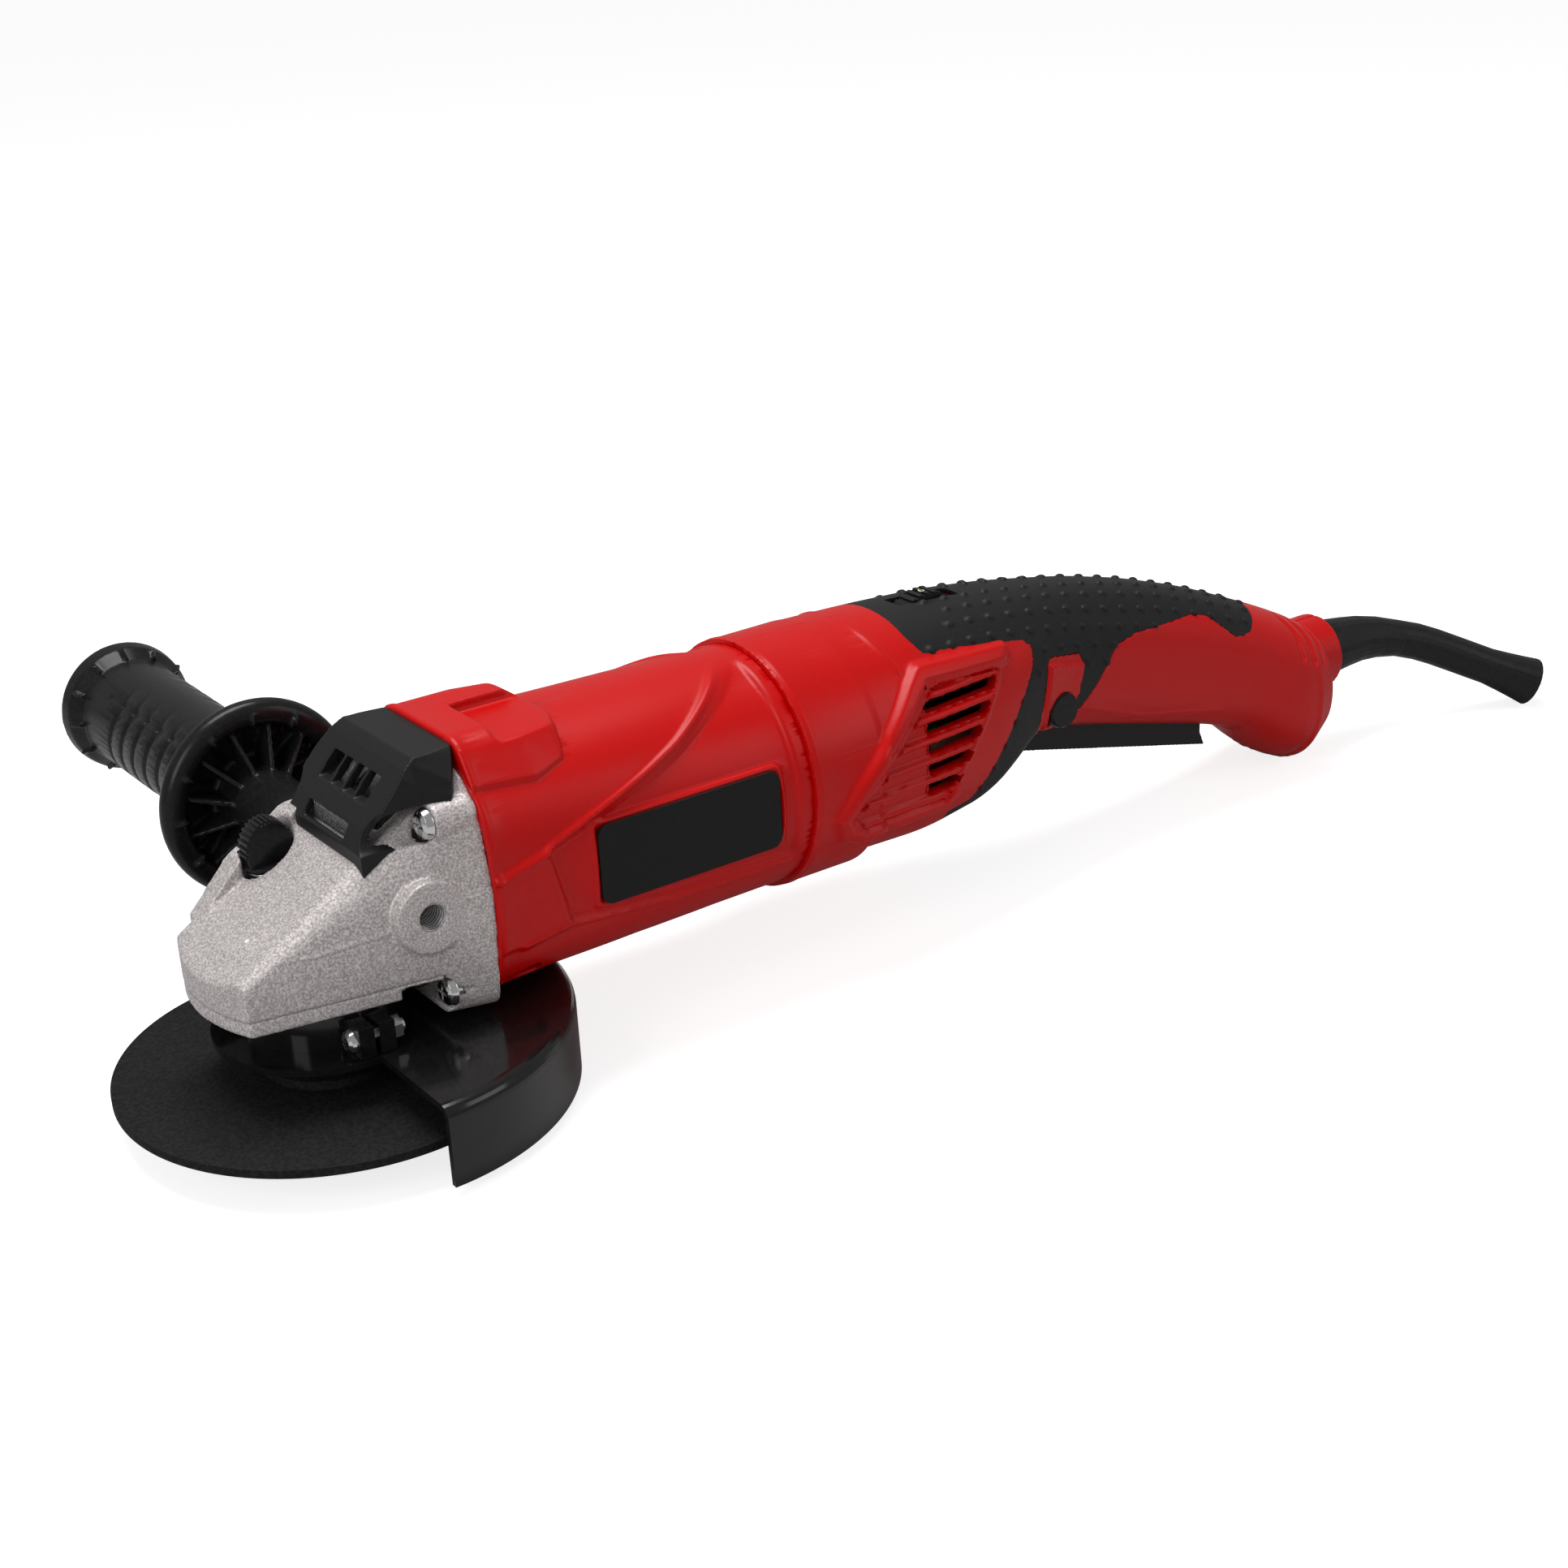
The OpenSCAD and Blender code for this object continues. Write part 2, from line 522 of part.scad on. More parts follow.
// Hood over the air outlet, open at the front through two windows
module deflector_form(t) intersection() {
  loft([2, 12, 24, joint_x], [for (s = [
      [60 - t, 108 - t, 22 - t, 24 - t], [60 - t, 108 - t, 22 - t, 24 - t],
      [60 - t, 104 - t, 21.2 - t, 26 - t], [58 - t, 101.5 - t, 21 - t, 31.5 - t]])
    rounded([[s[3], s[0]], [s[3], lerp(s[0], s[1], 0.62)], [s[2] - 1, s[1]],
      [-s[2] + 1, s[1]], [-s[3], lerp(s[0], s[1], 0.62)], [-s[3], s[0]]], [1, 6, 5, 5, 6, 1])]);
  rotate([90, 0, 0]) translate([0, 0, -60]) linear_extrude(120) polygon([
    [5.2 + t, 50], [5.2 + t, 78], [8.5 + t, 84 - t], [21.5 + t, 98 - t], [25, 100.4 - t],
    [joint_x, 100.6 - t], [joint_x, 50]]);
  translate([joint_x - 24 + t, 0, 0]) scale([1, 1.3, 1]) cylinder(r = 28, h = 140);
}
module air_deflector() color([0.07, 0.07, 0.07]) difference() {
  deflector_form(0);
  translate([-1, 0, 0]) deflector_form(2.4);
  translate([0, 0, 0]) head_skin(-0.15);
  lock_shoulder_clearance();
  // upper window with its vanes left standing
  difference() {
    translate([0, -14, 88]) cube([24, 28, 6.5]);
    for (y = [-7, 0, 7]) translate([0, y - 0.6, 80]) cube([40, 1.2, 20]);
  }
  translate([-5, -12, 78.6]) cube([22, 24, 4.4]);
  for (p = head_screw_at) pair() along_x(-30, p[0], p[1]) cylinder(r = 5.4, h = 90);
}
module lock_shoulder_clearance() translate([0, 0, 0.2]) lock_shoulder();

module lock_button() color([0.06, 0.06, 0.06]) translate([lock_pos[0], lock_pos[1], 0]) {
  difference() {
    translate([0, 0, button_floor + 4]) cylinder(r = button_r, h = 4);
    translate([-20, 0, 0]) rotate([0, -32, 0]) translate([0, -10, 74]) cube([60, 20, 20]);
  }
  // knurled thumb pad
  difference() {
    translate([0, 0, 64.2]) rotate([90, 0, 0]) cylinder(r = button_r - 0.8, h = 6.6, center = true);
    translate([-20, -10, 40]) cube([40, 20, button_floor + 4 - 40]);
    for (a = [12 : 12 : 168]) translate([0, 0, 64.2]) rotate([0, a - 90, 0])
      translate([-0.5, -5, button_r - 1.4]) cube([1, 10, 3]);
  }
}

module lock_pin() color([0.6, 0.6, 0.62]) {
  translate([lock_pin_at[0], lock_pin_at[1], web_top + 1])
    cylinder(r = lock_pin_r, h = button_floor + 4 - web_top - 1);
}

module lock_spring() color([0.6, 0.6, 0.6])
  translate([lock_pos[0], lock_pos[1], button_floor + 0.05]) spring(6.5, 0.4, 2, 3.9);

/* ---- motor ---- */

module front_bearing() color([0.75, 0.76, 0.78]) along_x(joint_x - 8.5, 0, axis_h) difference() {
  ring(13, 4 + fit, 8);
  for (z = [-1, 7.5]) translate([0, 0, z]) ring(11, 6.4, 1.5);
}

module armature_shaft() color([0.6, 0.61, 0.63]) along_x(0, 0, axis_h) rotate_extrude()
  polygon([[0, crown_r_in - 4.6], [2.9, crown_r_in - 4.6], [2.9, crown_r_in - 0.1], [4, crown_r_in - 0.1],
    [4, 152.5], [3.4, 153], [0, 153]]);

module armature_core() color([0.42, 0.42, 0.44]) along_x(armature_x0, 0, axis_h) difference() {
  ring(armature_r, 4, armature_x1 - armature_x0);
  for (i = [0 : 11]) rotate(i * 30) translate([armature_r - 0.8, -0.9, -1]) cube([3, 1.8, 60]);
}

module armature_windings() color([0.62, 0.32, 0.14]) along_x(0, 0, axis_h) {
  for (s = [[armature_x0 - 8, armature_x0], [armature_x1, armature_x1 + 8]]) rotate_extrude() polygon([
    [4, s[0]], [13.5, s[0]], [16.8, s[0] + 2.5], [16.8, s[1] - 2.5], [13.5, s[1]], [4, s[1]]]);
}

module commutator() color([0.72, 0.42, 0.22]) along_x(commutator_x, 0, axis_h) difference() {
  ring(commutator_r, 4, commutator_len);
  for (i = [0 : 23]) rotate(i * 15) translate([commutator_r - 0.6, -0.2, -1]) cube([2, 0.4, 40]);
}

module fan() color([0.12, 0.12, 0.12]) along_x(joint_x + 6, 0, axis_h) {
  ring(9, 4, 11);
  ring(30.5, 8.9, 1.6);
  for (i = [0 : 12]) rotate(i * 360 / 13) translate([8.5, -0.7, 1.5]) cube([21.5, 1.4, 8]);
}

module rear_bearing() color([0.75, 0.76, 0.78]) along_x(seam_x - 2, 0, axis_h) difference() {
  ring(11, 4 + fit, 7);
  for (z = [-1, 6.5]) translate([0, 0, z]) ring(9.2, 6, 1.5);
}

module stator_core() color([0.5, 0.5, 0.52]) along_x(armature_x0 - 1, 0, axis_h) difference() {
  cylinder(r = stator_r, h = armature_x1 - armature_x0 + 2);
  translate([0, 0, -1]) cylinder(r = bore_r, h = 80);
  for (a = [0, 180]) rotate(a) translate([0, 0, -1]) linear_extrude(80) difference() {
    intersection() { circle(r = stator_r - 6); translate([0, -16]) square([40, 32]); }
    circle(r = bore_r - 0.01);
    translate([0, -40]) square([bore_r - 8, 80]);
  }
}

module stator_coils() color([0.66, 0.36, 0.16]) along_x(0, 0, axis_h)
  for (x = [armature_x0 - 8, armature_x1 + 1.1]) for (a = [0, 180]) rotate(a) translate([0, 0, x])
    rotate([0, 0, -58]) rotate_extrude(angle = 116) polygon([[bore_r + 0.6, 0.5], [stator_r - 7, 0.5],
      [stator_r - 7, 6.8], [bore_r + 0.6, 6.8]]);

module air_baffle() color([0.85, 0.72, 0.25]) along_x(armature_x0 - 9.8, 0, axis_h)
  ring(stator_r, 23, 1.8);

module motor_housing() color([0.78, 0.03, 0.03]) difference() {
  union() {
    difference() {
      union() { body_skin(0); body_pad(); }
      body_skin(body_wall, joint_x - 1, seam_x - 4);
    }
    // rear bridge with the bearing seat
    along_x(seam_x - 6, 0, axis_h) cylinder(r = 14, h = 9);
    // ribs that hold the stator
    intersection() {
      body_skin(0.5);
      union() {
        for (a = [45 : 90 : 315]) translate([0, 0, axis_h]) rotate([a, 0, 0])
          translate([armature_x0 - 11, -2, stator_r + fit]) cube([armature_x1 - armature_x0 + 15, 4, 12]);
        // posts for the long screws
        for (p = head_screw_at) pair() along_x(joint_x, p[0], p[1]) cylinder(r = screw_land_r, h = 18);
        // pockets for the brush holders
        pair() translate([brush_x - 7.5, 24, axis_h - 6.5]) cube([15, 20, 13]);
      }
    }
  }
  along_x(joint_x - 5, 0, axis_h) cylinder(r = 31.6, h = 22);
  along_x(seam_x - 2, 0, axis_h) cylinder(r = 11 + fit, h = 20);
  along_x(seam_x - 10, 0, axis_h) cylinder(r = 7, h = 30);
  for (a = [45 : 90 : 315]) translate([seam_x - 8, 0, axis_h]) rotate([a, 0, 0]) translate([0, 0, 18])
    along_x(0, 0, 5.5) cylinder(r = 6.5, h = 20);
  for (a = [0 : 90 : 270]) translate([seam_x - 8, 0, axis_h]) rotate([a, 0, 0]) translate([0, 0, 18])
    along_x(0, 0, 7) cylinder(r = 4.5, h = 20);
  for (p = head_screw_at) pair() along_x(joint_x - 5, p[0], p[1]) cylinder(r = 2.5 + fit, h = 20);
  pair() translate([brush_x - 5.55, 0, axis_h - 4.05]) cube([11.1, commutator_r + 20.7, 8.1]);
  label_recess(0.6, 1.4);
}
// Raised pad behind the air deflector, with a recess along its near side
module body_pad() difference() {
  intersection() {
    loft([joint_x, joint_x + 20, joint_x + 31, joint_x + 36], [for (s = [
        [101.5, 21, 32.4], [101.8, 20, 32.6], [101.6, 17.5, 31.4], [98, 12, 27]])
      rounded([[s[2] - 10, 66], [s[2], 84], [s[1], s[0]], [-s[1], s[0]], [-s[2], 84], [-s[2] + 10, 66]],
        [1, 7, 6, 6, 7, 1])]);
    translate([joint_x, -60, 60]) cube([80, 120, 80]);
  }
  translate([joint_x + 13, -40, 98.4]) cube([60, 46, 20]);
}
label_at = [103, -37.6, 59];
label_size = [63, 24.5];
module label_recess(grow, depth) translate([label_at[0], label_at[1] + depth, label_at[2]])
  rotate([90, 0, 0]) label_block(grow);
module label_block(grow) {
  w = label_size[0] / 2 + grow;
  h = label_size[1] / 2 + grow;
  r = 3.5 + grow;
  linear_extrude(20) union() {
    square([2 * w - 2 * r, 2 * h], center = true);
    square([2 * w, 2 * h - 2 * r], center = true);
    for (x = [-1, 1]) for (y = [-1, 1]) translate([x * (w - r), y * (h - r)]) circle(r = r);
  }
}
module label_plate() color([0.04, 0.04, 0.04]) intersection() {
  label_recess(0, 1.4);
  translate([0, label_at[1] + 0.3, 0]) cube([200, 1.1, 200]);
}

module brush_holders() color([0.75, 0.6, 0.25]) pair() translate([brush_x, 0, axis_h]) difference() {
  translate([-5.5, commutator_r + 1.6, -4]) cube([11, 19, 8]);
  translate([-4.05, commutator_r, -2.55]) cube([8.1, 19.6, 5.1]);
}
module brushes() color([0.16, 0.16, 0.17]) pair() translate([brush_x, 0, axis_h])
  translate([-4, commutator_r + 0.05, -2.5]) cube([8, 11.5, 5]);
module brush_springs() color([0.6, 0.6, 0.6]) pair()
  translate([brush_x, commutator_r + 11.6, axis_h]) rotate([-90, 0, 0]) spring(1.9, 0.35, 5, 7.9);

/* ---- rear handle ---- */

module side_view(h = 120) rotate([90, 0, 0]) linear_extrude(h, center = true) children();
// Region of the handle that the rubber covers, seen from the side
module rubber_outline() polygon([
  [196, 120], [197, 92], [199.5, 87.5], [212, 86.6], [240, 82.2], [243.5, 79.5], [242, 74],
  [214, 36], [204, 35], [206, 24], [232, 20], [262, 43.4], [256, 46], [247, 47], [246.5, 56],
  [249.5, 72], [251, 73.8], [266, 71], [267.5, 68], [264, 52], [263, 49],
  [268, 51], [276, 60], [284, 69], [294, 70.4], [324, 68.8], [331, 66.5], [342, 57], [350, 56.6],
  [362, 63], [384, 53], [384, 120]]);
// Cavity for everything inside the handle shells
module handle_cavity() difference() {
  handle_skin(shell_wall + rubber_t, seam_x - 1, tail_x - 4);
  // walls round the switch bay and the cord clamp
  for (x = [248, 306, 356]) translate([x, -40, 0]) cube([2, 80, 34 + (x > 300 ? 0 : 14)]);
}
module vent_slots() for (i = [0 : 5]) intersection() {
  side_view(200) translate([100, 46 + i * 6.6]) square([150, 3.6]);
  side_view(200) polygon([[192, 81], [226, 78], [203, 43], [192, 43]]);
}
module handle_form() union() {
  handle_skin(0);
  along_x(tail_x - 8, 0, tail_axis_h) cylinder(r = boss_r, h = boss_len + 8);
}
screw_posts = [[162, 88], [166, 30], [243, 86], [256, 80], [310, 62], [347, 36]];
module handle_shell() difference() {
  union() {
    difference() {
      handle_form();
      handle_cavity();
    }
    intersection() {
      handle_skin(1);
      union() {
        for (p = screw_posts) along_y(p[0], -60, p[1]) cylinder(r = 4.6, h = 120);
        along_x(tail_x - 12, 0, tail_axis_h) cylinder(r = 13.6, h = 11);
        // rests of the control board, the switch, the dial and the cord clamp
        for (x = [182, 240]) translate([x, -60, 52]) cube([4, 120, 6]);
        for (x = [265, 292]) pair() translate([x, 7.45, 56]) cube([4, 40, 10]);
        pair() translate([dial_at[0] - 5, 4.4, dial_at[1] - 5]) cube([10, 3.6, 30]);
        pair() along_y(trigger_pivot[0], 8.25, trigger_pivot[1]) cylinder(r = 5, h = 40);
        translate([361, -15, 8]) cube([9, 30, 22]);
        translate([247, -9.6, 42]) cube([20, 1.9, 24]);
      }
    }
  }
  // recess for the rubber
  difference() {
    side_view() rubber_outline();
    handle_skin(rubber_t);
  }
  vent_slots();
  along_x(tail_x - 20, 0, tail_axis_h) cylinder(r = sleeve_root_r + 0.1, h = 60);
  along_x(350, 0, 30) cylinder(r = 3.6, h = 35);
  for (y = [-9, 9]) translate([365.5, y, 20]) cylinder(r = 1.5 + fit, h = 30);
  along_y(dial_at[0], -9, dial_at[1]) cylinder(r = 2 + fit, h = 18);
  // trigger channel
  translate([250.5, -8.2, -20]) cube([92, 16.4, 70]);
  along_y(trigger_pivot[0], -12, trigger_pivot[1]) cylinder(r = 2 + fit, h = 24);
  along_y(lock_on_at[0], -60, lock_on_at[1]) cylinder(r = lock_on_r + 0.2, h = 48);
  translate([dial_at[0] - dial_r + 1.3, -dial_w / 2 - 0.5, 80]) cube([2 * dial_r - 2.6, dial_w + 1, 40]);
}
module screw_cuts(side) for (p = screw_posts) {
  if (side > 0) {
    along_y(p[0], -1, p[1]) cylinder(r = 1.8, h = 60);
    along_y(p[0], 13, p[1]) cylinder(r = 3.6, h = 60);
  } else along_y(p[0], -14, p[1]) cylinder(r = 1.5 + fit, h = 20);
}
module handle_shell_left() color([0.76, 0.03, 0.03]) difference() {
  intersection() { handle_shell(); translate([100, 0, -40]) cube([400, 80, 200]); }
  screw_cuts(1);
}
module handle_shell_right() color([0.76, 0.03, 0.03]) difference() {
  intersection() { handle_shell(); translate([100, -80, -40]) cube([400, 80, 200]); }
  screw_cuts(-1);
}
module grip() difference() {
  intersection() {
    difference() { handle_skin(0); handle_skin(rubber_t); }
    side_view() rubber_outline();
  }
  translate([250.5, -8.2, -20]) cube([92, 16.4, 70]);
  along_y(lock_on_at[0], -60, lock_on_at[1]) cylinder(r = lock_on_r + 0.2, h = 48);
  translate([dial_at[0] - dial_r + 1.3, -dial_w / 2 - 0.5, 80]) cube([2 * dial_r - 2.6, dial_w + 1, 40]);
}
module grip_left() color([0.08, 0.08, 0.08]) intersection() {
  grip();
  translate([100, 0, -40]) cube([400, 80, 200]);
}
module grip_right() color([0.08, 0.08, 0.08]) intersection() {
  grip();
  translate([100, -80, -40]) cube([400, 80, 200]);
}
module shell_screws() color([0.35, 0.35, 0.37]) for (p = screw_posts)
  translate([p[0], 13, p[1]]) rotate([90, 0, 0]) pan_screw(1.5, 3.2, 2, 24);

// Line of the paddle's underside, from the front to the pivot
module trigger_paddle() color([0.07, 0.07, 0.07]) difference() {
  side_view(15) polygon([[252.2, 43.6], [251.6, 38.5], [255, 34.6], [340.5, 13.6], [338, 19.5],
    [339, 31], [327, 34], [300, 33.6], [262, 42.6], [260, 44.8], [253.5, 46]]);
  side_view(10.6) polygon([[256, 60], [256, 38.4], [326, 21.2], [326, 60]]);
  along_y(trigger_pivot[0], -12, trigger_pivot[1]) cylinder(r = 2 + fit, h = 24);
}
module trigger_pin() color([0.6, 0.6, 0.62])
  along_y(trigger_pivot[0], -11.5, trigger_pivot[1]) cylinder(r = 2, h = 23);
module trigger_spring() color([0.6, 0.6, 0.6])
  translate([292, 0, 30.7]) spring(3.2, 0.5, 5, switch_floor - 30.75);
module switch_body() color([0.2, 0.2, 0.2]) difference() {
  translate([264, -7.4, switch_floor]) cube([36, 14.8, 25]);
  // the pin swings forward a little as the paddle lifts it
  for (x = [0, plunger_swing]) translate([plunger_x + x, 0, switch_floor - 1])
    cylinder(r = plunger_r + 0.3, h = 12);
}
module switch_plunger() color([0.85, 0.85, 0.8])
  translate([plunger_x, 0, 35.2]) cylinder(r = plunger_r, h = 13);
module lock_on_button() color([0.07, 0.07, 0.07]) difference() {
  union() {
    along_y(lock_on_at[0], -26.6, lock_on_at[1]) rotate_extrude() polygon(concat([[0, 0]],
      [for (a = [60 : 15 : 90]) [lock_on_r * sin(a), 1.6 - 3.2 * cos(a)]], [[lock_on_r, 12.4], [0, 12.4]]));
    translate([lock_on_at[0] - 2, -15.4, lock_on_at[1] + lock_on_r - 1]) cube([4, 1.2, 2.4]);
    along_y(lock_on_at[0], -19, lock_on_at[1]) cylinder(r = 2.4, h = 6);
  }
}
module lock_on_spring() color([0.6, 0.6, 0.6])
  translate([lock_on_at[0], -14.15, lock_on_at[1]]) rotate([-90, 0, 0]) spring(4, 0.4, 2, 4.5);

module speed_dial() color([0.08, 0.08, 0.08]) along_y(dial_at[0], -dial_w / 2, dial_at[1]) difference() {
  cylinder(r = dial_r, h = dial_w);
  translate([0, 0, -1]) cylinder(r = 2 + fit, h = 20);
  for (i = [0 : 29]) if (i % 10 < 8) rotate(i * 12) translate([dial_r - 0.8, -0.7, -1]) cube([3, 1.4, 20]);
}
module dial_pin() color([0.6, 0.6, 0.62]) along_y(dial_at[0], -8, dial_at[1]) cylinder(r = 2, h = 16);
module control_board() color([0.1, 0.35, 0.15]) translate([182, -20, 58]) cube([62, 40, 1.6]);
module control_module() color([0.15, 0.15, 0.16]) translate([186, -13, 59.6]) cube([18, 26, 12]);
module capacitor() color([0.75, 0.62, 0.1]) translate([212, -12, 45]) cube([24, 24, 13]);
module cord_clamp() color([0.12, 0.12, 0.12]) difference() {
  translate([362, -12, 30]) cube([7, 24, 7]);
  along_x(360, 0, 30) cylinder(r = 3.6, h = 12);
  for (y = [-9, 9]) translate([365.5, y, 20]) cylinder(r = 1.6, h = 30);
}
module clamp_screws() color([0.6, 0.6, 0.6]) for (y = [-9, 9])
  translate([365.5, y, 37]) rotate([180, 0, 0]) pan_screw(1.5, 2.8, 1.8, 12);

sleeve_path = [[tail_x - 9, 0, tail_axis_h], [tail_x, 0, tail_axis_h],
  [404, 0, tail_axis_h], [411, -0.2, tail_axis_h], [418, -0.9, 31.6],
  [425, -1.9, 31.5], [433, -3.7, 30.6], [442, -6.1, 28.6], [450, -8.8, 26], [457, -11.4, 22.9],
  [464, -14.2, 19.4], [471, -17.4, 15.8], [478, -20.9, 12.2],
  [484, -24.1, 9.1], [489, -27, 6.5], [493, -29.4, 4.4]];
function sleeve_radius(i) = i < 4 ? sleeve_root_r : i < 8 ? lerp(sleeve_root_r, sleeve_mid_r, (i - 3) / 4)
  : i < 13 ? sleeve_mid_r : lerp(sleeve_mid_r, sleeve_mouth_r, (i - 12) / 3);
module cord_sleeve() color([0.07, 0.07, 0.07]) difference() {
  sweep(sleeve_path, [for (i = [0 : len(sleeve_path) - 1]) sleeve_radius(i)], 24);
  sweep(concat([[tail_x - 14, 0, tail_axis_h]], sleeve_path, [[500, -33.4, 1.4]]),
    [for (i = [0 : len(sleeve_path) + 1])
      i > len(sleeve_path) - 3 ? sleeve_bore_r + 1.4 : sleeve_bore_r], 16);
}

/* ---- side handle ---- */

module side_handle_grip() color([0.08, 0.08, 0.08]) difference() {
  along_y(side_x, 0, axis_h) union() {
    rotate_extrude() polygon(concat(
      [[0, boss_y + 0.02], [10.4, boss_y + 0.02], [11, side_flange_y + 3], [13, side_flange_y + 6],
       [flange_r - 9, side_flange_y + 4.6]],
      [for (a = [-130 : 20 : 90]) [flange_r - 4.2 + 4.2 * cos(a), side_flange_y + 2.2 + 4.2 * sin(a)]],
      [[side_grip_r + 6, side_flange_y + 8.2], [side_grip_r + 1, side_flange_y + 12],
       [side_grip_r, side_flange_y + 20], [side_grip_r + 0.8, side_flange_y + side_len * 0.5],
       [side_grip_r + 1, side_end_y - 14], [side_grip_r + 4.4, side_end_y - 9],
       [side_grip_r + 5, side_end_y - 4], [side_grip_r + 3.4, side_end_y - 1],
       [side_grip_r, side_end_y], [0, side_end_y]]));
    for (i = [0 : 11]) rotate(i * 30 + 15) rotate([90, 0, 0]) linear_extrude(1.6, center = true)
      polygon([[9, side_flange_y - 7], [flange_r - 7, side_flange_y + 1], [flange_r - 7, side_flange_y + 7],
        [9, side_flange_y + 7]]);
  }
  along_y(side_x, boss_y - 1, axis_h) cylinder(r = side_thread_d / 2 - fit, h = 46);
}
module side_handle_stud() color([0.6, 0.6, 0.62])
  along_y(side_x, boss_y - side_hole_len + 1, axis_h)
    cylinder(r = side_thread_d / 2 - fit, h = side_hole_len + 43);

grinding_disc();
inner_flange();
lock_nut();
spindle();
crown_gear();
spindle_bearing();
needle_bearing();
gear_circlip();
pinion();
pinion_nut();
guard();
guard_collar();
guard_screw();
gear_housing();
bearing_cover();
cover_screws();
head_screws();
air_deflector();
lock_button();
lock_pin();
lock_spring();
front_bearing();
armature_shaft();
armature_core();
armature_windings();
commutator();
fan();
rear_bearing();
stator_core();
stator_coils();
air_baffle();
motor_housing();
label_plate();
brush_holders();
brushes();
brush_springs();
handle_shell_left();
handle_shell_right();
grip_left();
grip_right();
shell_screws();
trigger_paddle();
trigger_pin();
trigger_spring();
switch_body();
switch_plunger();
lock_on_button();
lock_on_spring();
speed_dial();
dial_pin();
control_board();
control_module();
capacitor();
cord_clamp();
clamp_screws();
cord_sleeve();
side_handle_grip();
side_handle_stud();
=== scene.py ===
import json
import math

import bpy
import numpy as np
from mathutils import Matrix, Vector


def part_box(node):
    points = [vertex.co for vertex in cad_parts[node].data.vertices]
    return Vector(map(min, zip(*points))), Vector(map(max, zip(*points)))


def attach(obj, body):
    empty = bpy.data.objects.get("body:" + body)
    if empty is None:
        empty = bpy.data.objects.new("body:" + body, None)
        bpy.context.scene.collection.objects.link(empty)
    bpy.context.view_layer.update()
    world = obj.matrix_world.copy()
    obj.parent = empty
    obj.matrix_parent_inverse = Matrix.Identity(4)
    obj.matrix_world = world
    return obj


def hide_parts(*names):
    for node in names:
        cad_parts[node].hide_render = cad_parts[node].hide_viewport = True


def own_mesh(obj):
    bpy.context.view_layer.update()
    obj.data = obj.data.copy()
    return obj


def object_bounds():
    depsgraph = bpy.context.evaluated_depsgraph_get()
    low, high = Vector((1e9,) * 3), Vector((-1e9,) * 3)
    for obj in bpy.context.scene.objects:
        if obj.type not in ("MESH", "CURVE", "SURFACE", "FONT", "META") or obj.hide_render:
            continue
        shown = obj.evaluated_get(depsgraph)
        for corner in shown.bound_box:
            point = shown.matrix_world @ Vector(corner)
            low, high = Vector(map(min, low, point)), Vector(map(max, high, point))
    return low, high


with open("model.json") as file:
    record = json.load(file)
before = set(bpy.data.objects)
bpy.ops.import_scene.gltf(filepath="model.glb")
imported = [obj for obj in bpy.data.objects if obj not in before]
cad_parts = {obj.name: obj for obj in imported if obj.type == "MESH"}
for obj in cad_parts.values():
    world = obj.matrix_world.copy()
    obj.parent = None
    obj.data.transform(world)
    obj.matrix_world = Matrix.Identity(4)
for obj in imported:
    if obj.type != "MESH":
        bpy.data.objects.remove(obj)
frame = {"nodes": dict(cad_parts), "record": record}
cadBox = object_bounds()
nodes = frame["nodes"]
slotOf = {part["node"]: part["material_slot"] for part in frame["record"]["subparts"]}
mm = 0.001
perMetre = 1000
print("frame loaded:", len(nodes), "nodes")


def deselectAll():
    if bpy.context.object and bpy.context.object.mode != "OBJECT":
        bpy.ops.object.mode_set(mode="OBJECT")
    bpy.ops.object.select_all(action="DESELECT")


def makeActive(piece):
    deselectAll()
    piece.select_set(True)
    bpy.context.view_layer.objects.active = piece


def runModifier(piece, kind, **settings):
    makeActive(piece)
    modifier = piece.modifiers.new(kind.lower(), kind)
    for key, value in settings.items():
        setattr(modifier, key, value)
    bpy.ops.object.modifier_apply(modifier=modifier.name)


def placeInMesh(piece):
    makeActive(piece)
    bpy.ops.object.transform_apply(location=True, rotation=True, scale=True)


def smoothByAngle(piece, degrees=35):
    makeActive(piece)
    bpy.ops.object.shade_smooth_by_angle(angle=math.radians(degrees))


def vertexRows(mesh, kind):
    # one row of x, y and z for each vertex: its place ("co") or its normal ("normal")
    rows = np.empty(len(mesh.vertices) * 3, np.float32)
    mesh.vertices.foreach_get(kind, rows)
    return rows.reshape(-1, 3)


def setPlaces(mesh, place):
    mesh.vertices.foreach_set("co", place.ravel())
    mesh.update()


def trimPiece(piece, centre, normal, **side):
    # one side of the plane is taken away and the cut is closed
    makeActive(piece)
    bpy.ops.object.mode_set(mode="EDIT")
    bpy.ops.mesh.select_all(action="SELECT")
    bpy.ops.mesh.bisect(plane_co=centre, plane_no=normal, use_fill=True, **side)
    bpy.ops.object.mode_set(mode="OBJECT")


def roundEdges(piece, width, segments=2, **settings):
    runModifier(piece, "BEVEL", width=width * mm, segments=segments, **settings)


def joinPieces(pieces, name):
    deselectAll()
    for piece in pieces:
        piece.select_set(True)
    bpy.context.view_layer.objects.active = pieces[0]
    bpy.ops.object.join()
    joined = bpy.context.object
    joined.name = name
    return joined


mergeDistance = 0.005
flatAngle = 0.6


